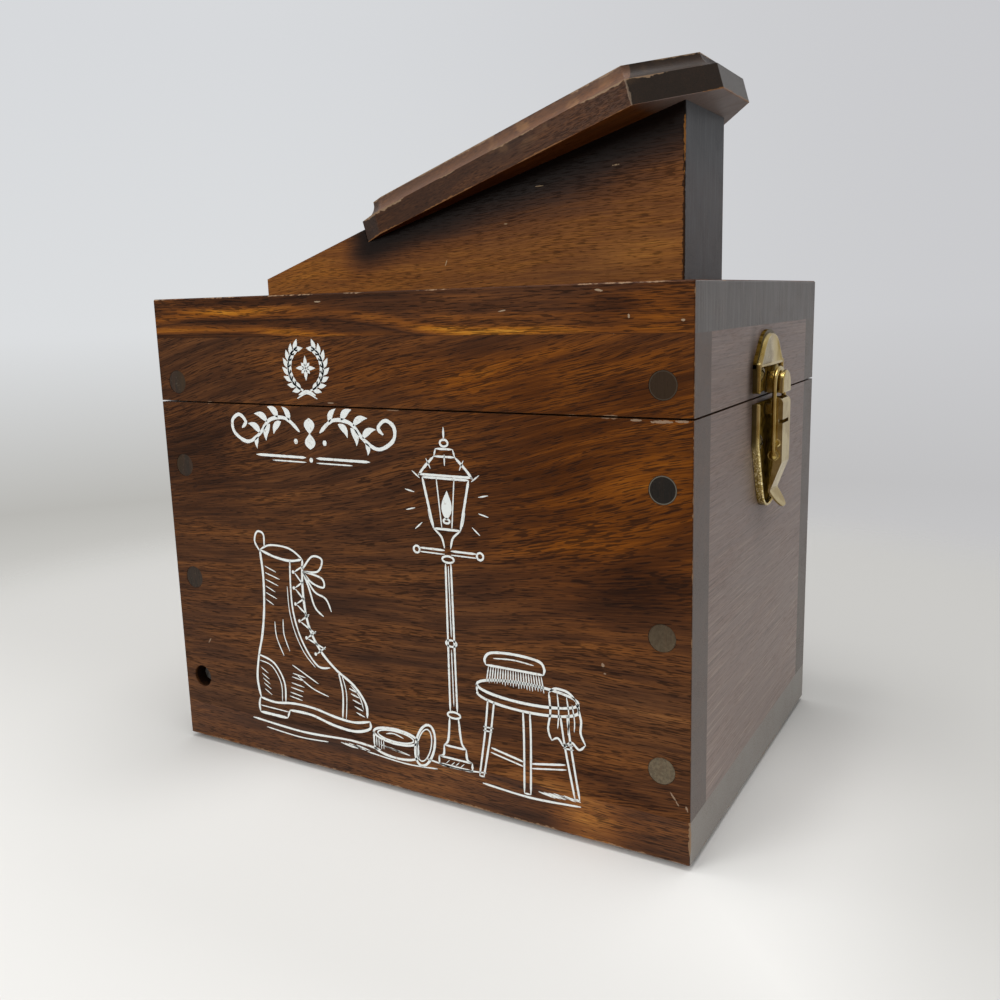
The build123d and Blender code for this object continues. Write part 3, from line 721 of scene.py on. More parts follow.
def turned(form, profile, place, sides=40):
    """Turned solid from (radius, height) pairs in millimetres, which start and end on its axis."""
    rings = []
    for radius, height in profile:
        count = sides if radius else 1
        angles = [2 * pi * i / count for i in range(count)]
        ring = [Vector((radius * cos(a), radius * sin(a), height)) * MM for a in angles]
        rings.append([form.verts.new(place @ point) for point in ring])
    skin(form, rings)


def aimed(point, outward, turn=0.0):
    """Matrix that puts a turned piece at a point in millimetres, its axis outward."""
    aim = Vector(outward).to_track_quat("Z", "Y").to_matrix().to_4x4()
    return Matrix.Translation(Vector(point) * MM) @ aim @ Matrix.Rotation(radians(turn), 4, "Z")


def arc(radius, rise, steps=6):
    """Profile of a dome, from its rim to its top."""
    ball = (radius**2 + rise**2) / (2 * rise)
    low = rise - ball
    spread = [1 - i / steps for i in range(steps + 1)]
    return [(radius * s, low + (ball**2 - (radius * s) ** 2) ** 0.5) for s in spread]


def block(form, size, place):
    bmesh.ops.create_cube(form, size=1.0, matrix=place @ Matrix.Diagonal((*(Vector(size) * MM), 1)))


def cut(piece, form):
    """Takes a closed form out of a piece."""
    tool = meshed("tool", form)
    bite = piece.modifiers.new("slot", "BOOLEAN")
    bite.object = tool
    bite.solver = "EXACT"
    ready = piece.evaluated_get(bpy.context.evaluated_depsgraph_get())
    piece.data = bpy.data.meshes.new_from_object(ready)
    piece.modifiers.clear()
    bpy.data.objects.remove(tool)


def slotted_screws(name, places, profile, slot, body, material, finish, replaced):
    """Screw heads with a slot; places are matrices and slot is (width, depth, top) in millimetres."""
    form = bmesh.new()
    tool = bmesh.new()
    width, depth, top = slot
    reach = 2.4 * max(radius for radius, _ in profile)
    for place in places:
        turned(form, profile, place)
        block(tool, (reach, width, 2 * depth), place @ Matrix.Translation((0, 0, top * MM)))
    piece = finished(name, form, body, material, (replaced,))
    cut(piece, tool)


def latch_point(out, across, up):
    return (HALF_LENGTH + out, across, SAW_LINE + up)


def on_side(side, out, across, up):
    """Place on one side of the latch, facing away from its middle."""
    return aimed(latch_point(out, side * across, up), (0, side, 0))


LATCH_DOME = [(0, -0.3), (3.5, -0.3), *arc(3.6, 1.6)]
FLAT_HEAD = [(0, -1.2), (2.6, -1.2), (4.1, -0.1), (4.2, 0.1), (4.0, 0.35), (0, 0.45)]
LEAF_HEAD = [(0, -1.0), (1.5, -1.0), (2.5, -0.1), (2.4, 0.0), (0, 0.0)]

# The slots' widths, depths and tops, and the rows of screws, in millimetres
DOME_SLOT, FLAT_SLOT, LEAF_SLOT = (0.8, 0.8, 1.7), (1.1, 0.5, 0.45), (0.6, 0.45, 0)
EDGE_TO_SCREW, HINGE_MIDDLE, LEAF_STEP = 9.5, 42, 12
RISER_SCREWS = (-29.7, 25.3, 85.3)


def latch_screws():
    turns = iter((25, 115, -40, 70))
    for name, (out, across, up), body in (
        ("latch_base_screws", BASE_SCREWS, "case"),
        ("keeper_screws", KEEPER_SCREWS, "lid"),
    ):
        places = [aimed(latch_point(out, s * across, up), X, next(turns)) for s in (-1, 1)]
        look = (body, SCREW_BRASS, "latch_screw_brass", name)
        slotted_screws(f"domed_{name}", places, LATCH_DOME, DOME_SLOT, *look)


def flat_screws():
    """Countersunk heads under the box, inside the lid and on the hinges."""
    side, end = HALF_DEPTH - EDGE_TO_SCREW, HALF_LENGTH - EDGE_TO_SCREW
    down, hinges = (0, 0, -1), (-HINGE_MIDDLE, HINGE_MIDDLE)
    spots = [(x, y) for x in (-end, end) for y in hinges] + [(0, -side), (0, side)]
    bottom = [aimed((x, y, UNDERSIDE), down, 31 * i) for i, (x, y) in enumerate(spots)]
    riser = [aimed((x, 0, CEILING), down, 17 * x) for x in RISER_SCREWS]
    for name, places, body in (("bottom_screws", bottom, "case"), ("riser_screws", riser, "lid")):
        look = (body, STEEL, "screw_steel", name)
        slotted_screws(f"slotted_{name}", places, FLAT_HEAD, FLAT_SLOT, *look)
    for name, body, way in (("case_leaf_screws", "case", 1), ("lid_leaf_screws", "lid", -1)):
        across = [y + step for y in hinges for step in (-LEAF_STEP, LEAF_STEP)]
        places = [aimed((-end, y, SAW_LINE - way * 0.1), (0, 0, way), 40 * y) for y in across]
        look = (body, SCREW_BRASS, "hinge_brass", name)
        slotted_screws(f"slotted_{name}", places, LEAF_HEAD, LEAF_SLOT, *look)


# Outlines of the two stampings: half width, mouth, shoulder, tip, half width and curve there
KEEPER_PLAN = (20.0, 2.3, 15.4, 29.1, 8.1, 7.3)
KEEPER_DOME = (18.7, 12.7, 15.2, 27.9, 7.7, 6.9)
BASE_PLAN = (20.0, -2.3, -20.0, -50.2, 8.5, 8.3)
WALL, SHEET_TOP, WALL_TOP, CHEEK_BEND = 1.2, 1.5, 3.4, 0.6
SHEET_PRESS = ((0.1, 0.0), (0.1, 1.3), (0.3, SHEET_TOP))
FLANGE_PRESS = ((0.0, 0.0), (0.0, 1.5), (0.2, 1.7))
WALL_PRESS = ((0.0, 0.0), (0.0, 3.0), (0.3, WALL_TOP))
DOME_PRESS = ((0.0, 1.2), (0.5, 3.0), (0.9, WALL_TOP), (1.7, WALL_TOP), (2.0, 3.2))
HOOK_NECK, NECK_PRESS = (4.6, 10.7, 1.5), ((0.0, 1.2), (0.0, 8.6))
HOOK_HEAD, HEAD_PRESS = (6.7, 11.4, 1.5), ((0.0, 8.5), (0.0, 9.6), (0.4, 10.0))
FLANGE_MOUTH = 13.0
PIN_EAR, EAR_RADIUS, EAR_HALF = (5.1, -3.1, 7.2), 1.7, 0.5


def plan(half, mouth, shoulder, tip, tip_half, reach):
    """Outline of a stamping, across and up: straight cheeks, then a taper to a round tip."""
    corner = Vector((tip_half, tip))
    back = (Vector((half, shoulder)) - corner).normalized() * reach
    ahead = Vector((-reach, 0))
    curve = [corner + back * (1 - t) ** 2 + ahead * t**2 for t in (i / 8 for i in range(9))]
    side = [Vector((half, mouth)), Vector((half, shoulder)), *curve]
    return [*side, *(Vector((-y, z)) for y, z in reversed(side))]


def inset(outline, depth):
    """The outline drawn in; the side that it turns to is taken as inside."""
    turn = sum(a.x * b.y - b.x * a.y for a, b in zip(outline, outline[1:] + outline[:1]))
    drawn = []
    for i, point in enumerate(outline):
        a = (point - outline[i - 1]).normalized()
        b = (outline[(i + 1) % len(outline)] - point).normalized()
        aside = Vector((-a.y - b.y, a.x + b.x)) / (1 + a.dot(b))
        drawn.append(point + aside * (depth if turn > 0 else -depth))
    return drawn


def pressed(form, outline, profile):
    """Closed plate on the latch end, from (inset, out) pairs."""
    rings = []
    for depth, out in profile:
        ring = inset(outline, depth)
        rings.append([form.verts.new(Vector(latch_point(out, y, z)) * MM) for y, z in ring])
    skin(form, rings)
    form.faces.new(rings[0])
    form.faces.new(rings[-1])


def arch_plan(half, top, foot):
    curve = [(half * cos(pi * i / 16), top - half + half * sin(pi * i / 16)) for i in range(17)]
    return [Vector(point) for point in ((half, foot), *curve, (-half, foot))]


def stamping(name, form, body, replaced):
    """Finishes a stamping with rounded edges."""
    # the sheet's low faces take the dark matt brass, as painted shade in the hollows
    for face in form.faces:
        highest = max(corner.co.x for corner in face.verts) / MM - HALF_LENGTH
        face.material_index = int(highest < SHEET_TOP + 0.05)
    piece = finished(name, form, body, LATCH_BRASS, (replaced,))
    piece.data.materials.append(HOLLOW_BRASS)
    soften(piece, 0.25)


def stamped_keeper():
    """Arched plate with a pressed tip, two upright cheeks and the hook for the bail."""
    form = bmesh.new()
    pressed(form, plan(*KEEPER_PLAN), SHEET_PRESS)
    half, mouth, shoulder = KEEPER_PLAN[:3]
    pressed(form, plan(half, FLANGE_MOUTH, *KEEPER_PLAN[2:]), FLANGE_PRESS)
    pressed(form, plan(*KEEPER_DOME), DOME_PRESS)
    root, bend = half - WALL, half - CHEEK_BEND
    low, high = mouth + CHEEK_BEND, shoulder - CHEEK_BEND
    cheek = [(root, mouth), (bend, mouth), (half, low)]
    cheek += [(half, high), (bend, shoulder), (root, shoulder)]
    for side in (-1, 1):
        pressed(form, [Vector((side * y, z)) for y, z in cheek], WALL_PRESS)
    pressed(form, arch_plan(*HOOK_NECK), NECK_PRESS)
    pressed(form, arch_plan(*HOOK_HEAD), HEAD_PRESS)
    stamping("stamped_keeper", form, "lid", "latch_keeper")


def stamped_base():
    """Tapering plate with a wall round it, open towards the keeper, and ears for the lever's pin."""
    form = bmesh.new()
    outer = plan(*BASE_PLAN)
    pressed(form, outer, SHEET_PRESS)
    inner = inset(outer, WALL)
    for i in (0, -1):
        inner[i].y = BASE_PLAN[1]
    pressed(form, [*outer, *reversed(inner)], WALL_PRESS)
    across, up, out = PIN_EAR
    ear = [(0, -EAR_HALF), (EAR_RADIUS, -EAR_HALF), (EAR_RADIUS, EAR_HALF), (0, EAR_HALF)]
    for side in (-1, 1):
        turned(form, ear, aimed(latch_point(out, side * across, up), Y))
        place = Matrix.Translation(Vector(latch_point(out / 2, side * across, up - 2.6)) * MM)
        block(form, (out - 1.4, 2 * EAR_HALF, 4.6), place)
    stamping("stamped_base", form, "case", "latch_base")


def wire(form, path, radius, sides=16):
    """Round wire along a path that lies square to X, closed at both ends."""
    rings = []
    for i, point in enumerate(path):
        ahead = (path[min(i + 1, len(path) - 1)] - path[max(i - 1, 0)]).normalized()
        aside = ahead.cross(Vector(X))
        angles = [2 * pi * k / sides for k in range(sides)]
        outward = [aside * cos(a) + Vector(X) * sin(a) for a in angles]
        rings.append([form.verts.new(point + way * radius) for way in outward])
    skin(form, rings)
    form.faces.new(rings[0])
    form.faces.new(rings[-1])


def wire_bail():
    """Bent wire that hooks over the keeper, its ends pressed into round eyes."""
    out, foot = RIVET
    shoulder = BAIL_TOP - BAIL_HALF
    angles = [pi * i / 24 for i in range(25)]
    arch = [(BAIL_HALF * cos(a), shoulder + BAIL_HALF * sin(a)) for a in angles]
    legs = [[(side * BAIL_HALF, BAIL_FOOT), (side * BAIL_HALF, -12)] for side in (1, -1)]
    path = [*legs[0], *arch, *reversed(legs[1])]
    form = bmesh.new()
    wire(form, [Vector(latch_point(out, y, z)) * MM for y, z in path], BAIL_WIRE * MM)
    thick, eye, flat = EYE_OUTER - EYE_INNER, EYE_RADIUS, EYE_RADIUS - EYE_BEVEL
    rim = [(eye, EYE_BEVEL), (eye, thick - EYE_BEVEL)]
    for side in (-1, 1):
        place = on_side(side, out, EYE_INNER, foot)
        turned(form, [(0, 0), (flat, 0), *rim, (flat, thick), (0, thick)], place)
    finished("wire_bail", form, "latch_bail", LATCH_BRASS, ("draw_bail",))


def rivet_heads():
    """Domed rivet through the bail's eyes, and the pressed dimples of the lever's walls."""
    out, foot = RIVET
    form = bmesh.new()
    rivet = [(0, -2.2), (1.0, -2.2), (1.0, 0), (RIVET_HEAD - 0.1, 0), *arc(RIVET_HEAD, RIVET_RISE)]
    for side in (-1, 1):
        turned(form, rivet, on_side(side, out, RIVET_SEAT, foot))
    finished("domed_rivet", form, "latch_lever", LATCH_BRASS, ("bail_rivet",))
    form = bmesh.new()
    ring = [(0, -0.3), (1.9, -0.3), (1.9, 0.05), (1.6, 0.3), (1.3, 0.34), (1.0, 0.2)]
    ring += [(0.6, 0.06), (0, 0.04)]
    for side in (-1, 1):
        turned(form, ring, on_side(side, *DIMPLE))
    finished("lever_dimples", form, "latch_lever", LATCH_BRASS)


stamped_keeper()
stamped_base()
latch_screws()
flat_screws()
wire_bail()
rivet_heads()


# White line drawings: millimetres of X and Z on the front

PEN_LIFT = 2.0
PEN = 1.15


def smooth_line(points, steps=6):
    """Points of a Catmull-Rom curve through the given ones."""
    if len(points) == 2:
        (ax, az), (bx, bz) = points
        steps = max(4, round(hypot(bx - ax, bz - az)))
        return [(ax + (bx - ax) * t / steps, az + (bz - az) * t / steps) for t in range(steps + 1)]
    ends = [points[0], *points, points[-1]]
    curve = []
    for a, b, c, d in zip(ends, ends[1:], ends[2:], ends[3:]):
        for step in range(steps):
            t = step / steps
            curve.append(tuple(
                0.5 * (2 * q + (r - p) * t + (2 * p - 5 * q + 4 * r - s) * t**2
                       + (3 * q - p - 3 * r + s) * t**3)
                for p, q, r, s in zip(a, b, c, d)
            ))
    return [*curve, points[-1]]


class Drawing:
    """White strokes on the front, as outlines in millimetres of X and Z."""

    def __init__(self, seed):
        self.hand = Random(seed)
        self.strokes = []
        self.side = 1
        self.move(0, 0)

    def move(self, x, z, scale=1.0):
        self.origin, self.scale = (x, z), scale

    def both_sides(self):
        """Draws a loop's strokes mirrored on the left, then as given on the right."""
        for self.side in (-1, 1):
            yield self.side

    def lines(self, *rows):
        """Pen strokes, each led by its width."""
        for width, *points in rows:
            self.line(*points, width=width)

    def line(self, *points, width=0.8, thin=0.35):
        """Pen stroke through the points, thinner at both ends."""
        path = smooth_line(points)
        start, end = points[0], points[-1]
        reach = [min(hypot(x - a, z - b) for a, b in (start, end)) for x, z in path]
        press = [thin + (1 - thin) * min(1, distance / PEN_LIFT) for distance in reach]
        self.ribbon(path, [width * p * self.hand.uniform(0.88, 1.12) for p in press])

    def leaf(self, root, tip, width, bend=0.0):
        """Solid leaf from root to tip, bent sideways by a share of its length."""
        (ax, az), (bx, bz) = root, tip
        path = []
        for i in range(9):
            t = i / 8
            side = bend * sin(pi * t)
            x, z = ax + (bx - ax) * t, az + (bz - az) * t
            path.append((x - (bz - az) * side, z + (bx - ax) * side))
        self.ribbon(path, [max(0.12, width * sin(pi * (i / 8) ** 0.8)) for i in range(9)])

    def ring(self, x, z, rx, rz, start=0, end=360, width=0.8, tilt=0):
        """Oval or a part of it."""
        count = max(6, round((end - start) / 12))
        path = []
        for i in range(count + 1):
            angle = radians(start + (end - start) * i / count)
            u, v = rx * cos(angle), rz * sin(angle)
            c, s = cos(radians(tilt)), sin(radians(tilt))
            path.append((x + u * c - v * s, z + u * s + v * c))
        self.ribbon(path, [width * self.hand.uniform(0.88, 1.12) for _ in path])

    def dot(self, x, z, radius):
        path = [(x + radius * share, z) for share in (-1, -0.5, 0.5, 1)]
        self.ribbon(path, [radius * share for share in (0.7, 1.9, 1.9, 0.7)])

    def hatch(self, start, end, step, count, width=0.45):
        """Row of short parallel strokes."""
        for i in range(count):
            slip = self.hand.uniform(-0.6, 0.6)
            ends = [(x + step[0] * i, z + step[1] * i + slip) for x, z in (start, end)]
            self.line(*ends, width=width)

    def ribbon(self, path, widths):
        ox, oz = self.origin
        k = self.scale
        placed = [(ox + self.side * x * k, oz + z * k) for x, z in path]
        self.strokes.append((placed, [width * PEN for width in widths]))


def draw_boot(art):
    """Laced boot, toe to the right, from the corner under its heel."""
    art.lines(
        (1.1, (10, 86), (11, 72), (10, 56), (7.5, 42), (4, 30), (2, 18), (3.5, 8)),
        (1.1, (37, 84), (36, 72), (36.5, 60), (39, 49), (45, 39), (54, 31), (64, 25), (70.5, 17),
         (71, 10)),
        (0.8, (10, 86), (17, 89), (29, 88.5), (37, 84)),
        (1.0, (10, 86), (19, 83.4), (29, 82.4), (37, 84)),
        (1.0, (3, 8), (13, 7), (25, 8.6), (38, 8.6), (52, 6.6), (63, 6.2), (72.5, 8.4)),
        (1.0, (3, 8), (2, 4), (2.4, 0)), (1.2, (2.4, 0), (20.5, 0)), (0.9, (20.5, 0), (22.5, 4.6)),
        (1.1, (22.5, 4.6), (36, 4.8), (50, 2.2), (63, 1.6), (72, 4.6), (72.5, 8.4)),
        (0.5, (2.8, 3.6), (21.5, 3.4)), (0.8, (55, 30), (57, 20), (56, 7)),
        (0.45, (57, 29), (59.2, 20), (58.2, 7)), (0.8, (4, 31), (14, 28), (20, 19), (20, 8.5)),
        (0.45, (4.6, 28), (12.6, 26), (17.8, 18), (17.8, 8.4)),
    )
    facing = [(29, 82.6), (28.4, 70), (28.8, 58), (31.5, 47), (36.5, 37.5), (43, 31)]
    art.lines((0.8, *facing, (50, 31.5)), (0.4, *[(x - 2.2, z - 0.8) for x, z in facing[1:]]))
    tongue = [(36.6, 78), (36, 70), (36.4, 62), (38.4, 54), (42, 46), (47.5, 39)]
    eyes = [(30.6, 77), (30.4, 69), (30.8, 61), (32.6, 52.6), (36.4, 44.6), (41.6, 37.2)]
    for (ex, ez), (tx, tz) in zip(eyes, tongue):
        art.dot(ex, ez, 0.75)
        art.line((ex + 1, ez + 0.3), (tx + 0.6, tz + 2.8), width=0.75)
    for (ex, ez), (tx, tz) in zip(eyes, tongue[1:]):
        art.line((ex + 1, ez - 0.4), (tx + 0.2, tz + 1.6), width=0.75)
    art.lines(
        (0.8, (36.6, 79), (43, 86), (49, 85), (46, 79), (37, 78)),
        (0.8, (36.6, 78), (42, 73), (49, 71.5), (48, 76), (37, 78)),
        (0.8, (36.6, 78), (40, 70), (43, 61), (48, 57)),
        (0.8, (37, 78), (43, 69), (50, 66), (53, 60)),
        (0.8, (10.2, 85), (7, 90), (9, 95), (13, 94), (13, 87.6)),
    )
    folds = ((12.5, 78, 7), (12.5, 74.6, 9), (12.4, 71.2, 8), (12.2, 67.8, 6), (12, 64.4, 7))
    for x, z, reach in (*folds, (11.6, 61, 5)):
        art.line((x, z), (x + reach, z - 2.4), width=0.45)
    art.hatch((5, 24), (9.5, 21.5), (0.4, -2.6), 5)
    art.hatch((23, 12), (31, 11), (0.6, 2.6), 6)
    art.hatch((61, 23), (66, 21.6), (0.9, -2.8), 5, 0.6)
    art.lines(
        (0.5, (62, 25), (67, 20), (69, 14)), (0.5, (25, 36), (22, 44), (22, 52)),
        (0.5, (21, 33), (17, 42), (16.5, 50)), (0.5, (26, 29), (33, 26), (42, 22)),
        (0.5, (29, 24), (38, 19), (48, 16.5)),
    )


def draw_lamp(art):
    """Old street lamp, from the middle of its foot."""
    for side in art.both_sides():
        art.lines(
            (0.9, (9, 0), (9, 4)), (0.9, (9, 4), (6.4, 5.2), (6, 10)),
            (0.9, (6, 10), (3.6, 13), (2.4, 24)), (0.8, (1.9, 27.4), (1.4, 97)),
            (0.8, (1.6, 103), (15, 103)), (0.5, (1.6, 101.2), (15, 101.2)),
        )
        art.ring(16.6, 102.1, side * 1.6, 1.6)
        art.lines(
            (0.8, (1.6, 104), (3, 109), (7, 112.5)), (1.0, (7, 112.5), (12, 135.5)),
            (0.5, (2.6, 112.8), (4.6, 135.4)), (1.0, (14, 136), (10.6, 140), (5.4, 145)),
            (0.8, (5.4, 145), (4.4, 148.4)), (0.45, (8.2, 114.6), (9.6, 121)),
        )
    for half, z, width in (
        (9, 0, 1.1), (9, 4, 0.8), (6, 10, 0.8), (7, 112.6, 0.9), (12, 135.4, 0.9), (14, 136.6, 0.9),
        (5.4, 145, 0.8), (4.4, 148.4, 0.8),
    ):
        art.line((-half, z), (half, z), width=width)
    for z, reach in ((25.6, 3.4), (60, 2.8), (99, 3.0), (151, 2.0)):
        art.ring(0, z, reach, 1.5)
    art.line((0, 152.6), (0, 158), width=0.9, thin=0.2)
    art.lines((0.45, (0.2, 30), (0, 57)), (0.45, (0.2, 63), (0, 96)))
    art.leaf((0, 117), (0.6, 130), 4.6)
    art.ring(0, 116.4, 1.6, 1.0)
    art.hatch((-5.2, 1), (-3.2, 3), (2.6, 0), 4)
    for angle in range(-40, 221, 26):
        c, s = cos(radians(angle)), sin(radians(angle))
        art.line((17 * c, 125 + 16 * s), (22 * c, 125 + 21 * s), width=0.55)


def draw_stool(art):
    """Round stool with a brush and a cloth on it, from between its feet."""
    art.ring(0, 44, 25, 4.6, width=1.0)
    art.ring(0, 40.4, 25, 4.8, 180, 360, width=1.0)
    for _ in art.both_sides():
        art.line((25, 44), (25, 40.4), width=0.9)
        for inner in (0, 3.2):
            art.line((19.5 - inner, 37.8 - inner / 6), (21.4 - inner * 0.9, 22), (25 - inner * 0.7, 0))
        art.lines(
            (0.9, (25.2, 0), (22.4, 0)), (0.6, (22.2, 24.4), (17, 24.4)),
            (0.6, (22.4, 22.6), (17.6, 22.6)), (0.8, (18.4, 15), (1.8, 11.8)),
            (0.6, (18.8, 12.8), (1.8, 9.6)),
        )
    art.lines(
        (0.8, (-1.8, 35.6), (-1.6, 22), (-2, -3)), (0.8, (1.6, 35.6), (1.8, 22), (1.2, -3)),
        (0.9, (-2, -3), (1.2, -3)),
    )
    # Brush
    art.lines(
        (1.0, (-20, 54), (-20.4, 57), (-17, 60), (-6, 61), (6, 60), (9, 57), (8.6, 54)),
        (0.9, (-20, 54), (8.6, 54)), (0.5, (-16, 57.6), (-6, 58.4), (4, 57.6)),
    )
    for i in range(22):
        x = -18.6 + i * 1.24
        lean = (i - 10.5) * 0.12
        art.line((x, 53.4), (x + lean, 46.2 + art.hand.uniform(-0.5, 0.5)), width=0.5)
    # Cloth
    art.lines(
        (0.9, (11, 46.6), (14, 49), (20, 48.4), (23.6, 45.4)),
        (0.8, (11, 46.6), (11.6, 38), (10.4, 30), (12, 25)),
        (0.8, (12, 25), (15, 26.6), (18, 23.6), (21.4, 26), (25, 23.4), (28, 26)),
        (0.8, (23.6, 45.4), (26, 37), (25.8, 31), (28, 26)), (0.5, (15, 47), (15.6, 39), (15, 31)),
        (0.5, (19.4, 46), (20.4, 38), (19.8, 29)), (0.45, (22, 43), (23, 36), (22.8, 31)),
    )


def draw_tin(art):
    """Open polish tin with its lid leaning on it, from under its middle."""
    art.ring(0, 10, 14, 4, width=1.0)
    art.ring(0, 10, 11.4, 2.9, width=0.6)
    art.ring(0, 2, 14, 4, 180, 360, width=1.0)
    for _ in art.both_sides():
        art.line((14, 10), (14, 2), width=0.9)
    art.ring(18.4, 9, 5.6, 12, width=1.0, tilt=-16)
    art.ring(18.0, 9, 4, 9.4, width=0.5, tilt=-16)
    art.hatch((-12.4, 7.2), (-12.4, 2), (1.5, -0.3), 4)
    art.line((-6, 10.4), (-1, 11.4), (5, 10), width=0.5)


def draw_ground(art):
    art.lines(
        (0.9, (-93, 20), (-60, 18.6), (-30, 20.4), (-12, 19.4)),
        (0.5, (-84, 16.4), (-62, 15.4), (-44, 16.6)), (0.5, (-20, 16.8), (2, 15.6), (20, 17)),
        (0.6, (14, 20.8), (30, 19.6), (46, 21)), (0.8, (44, 15.8), (68, 14.6), (92, 16.2)),
    )
    art.hatch((-12, 22.6), (-4, 21.4), (2.2, -0.4), 5, 0.5)
    art.hatch((72, 18.6), (80, 17.4), (2.4, 0.1), 6, 0.5)
    art.hatch((-36, 18.2), (-28, 17), (2.4, 0), 5, 0.5)


def draw_flourish(art):
    """Scrolls and leaves on both sides of a diamond, over a double rule."""
    for _ in art.both_sides():
        curl = [(39, -5), (47, -1), (48, 5), (43.4, 8), (39.4, 4.6), (42, 1.6)]
        art.line((6, 1), (14, 7), (24, 6), (31, -1), *curl, width=1.5)
        for x, z, dx, dz, width in (
            (12, 6, 4, 6.4, 2.6), (19, 7.2, 6, 5, 3.0), (25.6, 5, 8, 3.6, 2.8),
            (17, 5.4, 5, -6, 2.8), (24, 4, 3, -8, 3.0), (30.6, -0.6, 7.4, 4.4, 2.8),
            (32, -2.4, 1, -5.6, 2.0),
        ):
            art.leaf((x, z), (x + dx, z + dz), width, 0.16)
        art.line((3, -11), (34, -11), width=1.0, thin=0.15)
        art.line((3, -13.2), (24, -13.2), width=0.55, thin=0.15)
        art.dot(8.6, -3.6, 1.1)
    art.leaf((0, -7), (0, 0.4), 5.4)
    art.leaf((0, 7.6), (0, 0.2), 5.4)
    art.dot(0, -12, 1.0)


def draw_wreath(art):
    """Two leafy branches round an eight-pointed star."""
    for _ in art.both_sides():
        art.ring(0, 0, 10.4, 10.4, -78, 66, width=0.8)
        for i in range(8):
            angle = radians(-70 + i * 17.6)
            x, z = 10.4 * cos(angle), 10.4 * sin(angle)
            for out, spread in ((1, 0.55), (-1, 0.5)):
                lean = angle + pi / 2 - out * spread
                art.leaf((x, z), (x + 5.2 * cos(lean), z + 5.2 * sin(lean)), 2.0)
    for i in range(8):
        angle = radians(45 * i)
        reach = 5.6 if i % 2 == 0 else 3.4
        c, s = cos(angle), sin(angle)
        art.leaf((0.4 * c, 0.4 * s), (reach * c, reach * s), 1.7)
    art.lines((1.1, (-5, -12.4), (0, -10.6), (5, -12.4)), (0.6, (-6, -14), (0, -11.6), (6, -14)))


PRINT_PROUD = 0.10
PRINT_SUNK = 0.03


def print_on_front(drawing, name, body, material):
    """Strokes as thin closed ribbons on the front."""
    form = bmesh.new()
    for path, widths in drawing.strokes:
        rings = []
        last = len(path) - 1
        for i, ((x, z), width) in enumerate(zip(path, widths)):
            (ax, az), (bx, bz) = path[max(i - 1, 0)], path[min(i + 1, last)]
            half = width / 2 / (hypot(bx - ax, bz - az) or 1)
            aside_x, aside_z = (az - bz) * half, (bx - ax) * half
            rings.append([
                form.verts.new(Vector((x + s * aside_x, -HALF_DEPTH + y, z + s * aside_z)) * MM)
                for s, y in ((1, -PRINT_PROUD), (-1, -PRINT_PROUD), (-1, PRINT_SUNK), (1, PRINT_SUNK))
            ])
        skin(form, rings)
        form.faces.new(rings[0])
        form.faces.new(rings[-1])
    finished(name, form, body, material)


def pictures():
    white = white_print()
    picture = Drawing(11)
    for draw, x, z, scale in (
        (draw_boot, -90, 24, 1.0),
        (draw_lamp, 30, 20, 0.98),
        (draw_stool, 67, 19, 0.98),
        (draw_tin, -3, 19, 0.9),
        (draw_ground, 0, 0, 1.0),
        (draw_flourish, -43.5, 168.5, 1.0),
    ):
        picture.move(x, z, scale)
        draw(picture)
    print_on_front(picture, "printed_picture", "case", white)
    wreath = Drawing(5)
    wreath.move(-43.5, 199)
    draw_wreath(wreath)
    print_on_front(wreath, "printed_wreath", "lid", white)


pictures()


# Stage

FLOOR_RADIUS = 1.6
FLOOR_FADE = (0.42, 0.62)
BOX_MIDDLE = (0, 0, 0.1)


def floor():
    form = bmesh.new()
    bmesh.ops.create_circle(form, cap_ends=True, radius=FLOOR_RADIUS, segments=96)
    disc = meshed("floor", form)
    paint = Paint("floor_paper")
    far = paint.node("VectorMath", {"operation": "LENGTH"}, (paint.place(),), "Value")
    clear = paint.node("BsdfTransparent", {}, ())
    solid = Value(paint, paint.shader.outputs[0])
    mixed = paint.node("MixShader", {}, (far.rise(*FLOOR_FADE), solid, clear))
    paint.feed(paint.tree.nodes["Material Output"].inputs["Surface"], mixed)
    x, y = paint.along(X), paint.along(Y)
    gap = (abs(x) - HALF_LENGTH).most(abs(y) - HALF_DEPTH)
    # painted light: the floor paler in front of and beside the box, against its shadow; painted shade:
    # the floor darker towards the back
    before = gap.rise(120, 0) * y.rise(120, -20) * x.rise(-150, -50)
    color = paint.mix(before, paint.mix(y.rise(-300, 0), "#dad9d6", "#c4c3c0"), "#edece9")
    paint.finish(Base_Color=color, Roughness=0.9)
    disc.data.materials.append(paint.material)


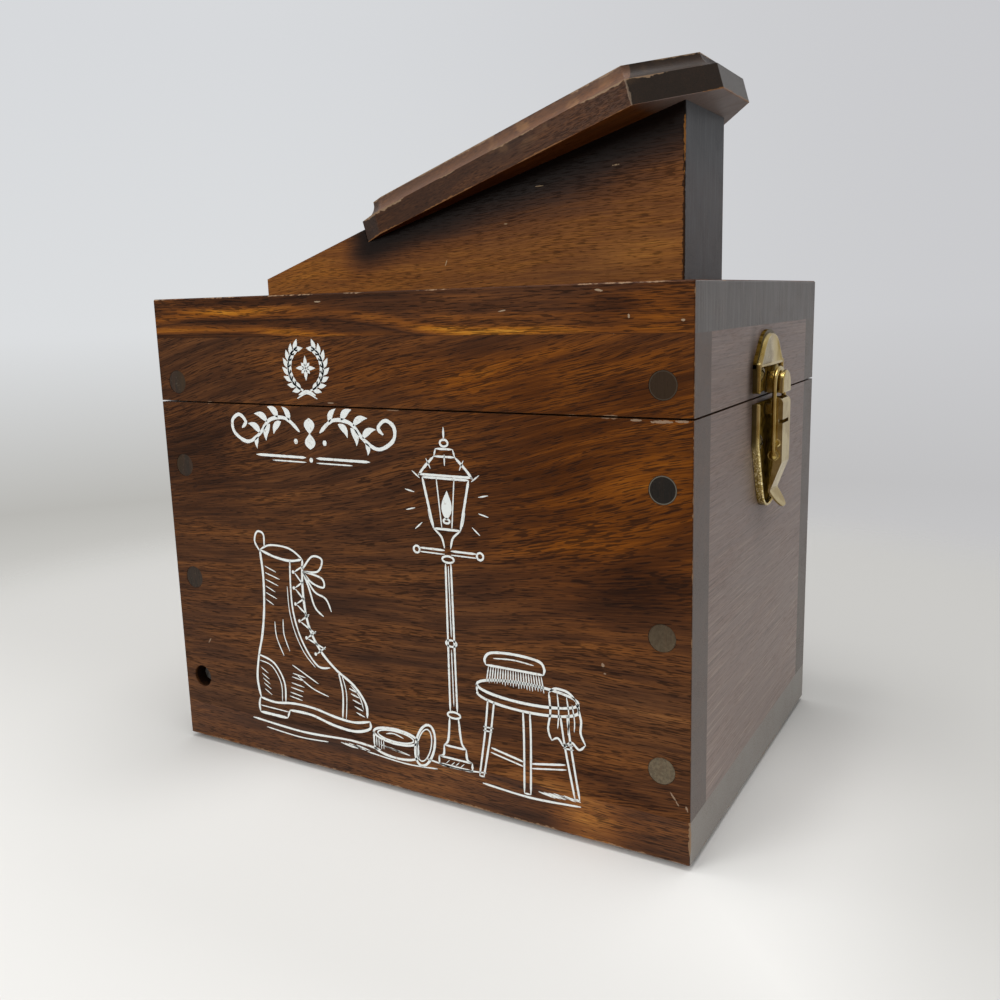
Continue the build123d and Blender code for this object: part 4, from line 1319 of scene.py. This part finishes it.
def world():
    """Pale studio: a folded paper sweep behind, darker towards the right and in front."""
    made = bpy.data.worlds.new("studio")
    bpy.context.scene.world = made
    made.use_nodes = True
    made.node_tree.nodes.clear()
    studio = Nodes(made.node_tree)
    direction = studio.node("TexCoord", {}, (), "Generated")
    x, y, z = (studio.node("SeparateXYZ", {}, (direction,), axis) for axis in "XYZ")
    sweep = studio.ramp(z * 0.5 + 0.5, (
        (0.340, "#dddcd8"),
        (0.366, "#d3d2ce"),
        (0.410, "#b9b8b4"),
        (0.490, "#dcdee0"),
        (0.620, "#d7d9dc"),
    ))
    right = (x * cos(YAW) + y * sin(YAW)).rise(-0.25, 0.5)
    sweep = studio.mix(right * 0.75, sweep, "#c4c4c7")
    camera_ray = studio.node("LightPath", {}, (), "Is Camera Ray")
    glossy_ray = studio.node("LightPath", {}, (), "Is Glossy Ray")
    shown = studio.mix(glossy_ray * y.rise(0.1, -0.5) * 0.75, sweep, "#8a725c")
    seen = (camera_ray + glossy_ray).clip()
    color = studio.mix(seen, "#ffffff", shown)
    sky = 0.26 + z.rise(-0.2, 0.9) * 0.5
    background = studio.node("Background", {}, (color, seen + (1 - seen) * sky))
    studio.node("OutputWorld", {}, {"Surface": background})


def lamp(name, place, aim, size, power):
    data = bpy.data.lights.new(name, "AREA")
    data.shape = "DISK"
    data.size = size
    data.energy = power
    made = added(name, data)
    made.location = place
    made.rotation_euler = (Vector(aim) - Vector(place)).to_track_quat("-Z", "Y").to_euler()


def camera():
    data = bpy.data.cameras.new("camera")
    data.lens, data.sensor_width = LENS, SENSOR
    data.shift_x, data.shift_y = SHIFT
    made = added("camera", data)
    turn = Matrix.Rotation(YAW, 4, "Z") @ Matrix.Rotation(pi / 2 + PITCH, 4, "X")
    made.matrix_world = Matrix.Translation(EYE) @ turn @ Matrix.Rotation(ROLL, 4, "Z")
    bpy.context.scene.camera = made


floor()
world()
lamp("overhead", (0.0, -0.05, 1.4), BOX_MIDDLE, 0.9, 9)
lamp("fill", (-0.6, -1.3, 0.7), BOX_MIDDLE, 0.9, 9)
lamp("glint", (-0.05, -0.1, 1.4), (0.1, 0, 0.15), 0.16, 1.5)
camera()
bpy.context.scene.view_settings.view_transform = "Standard"
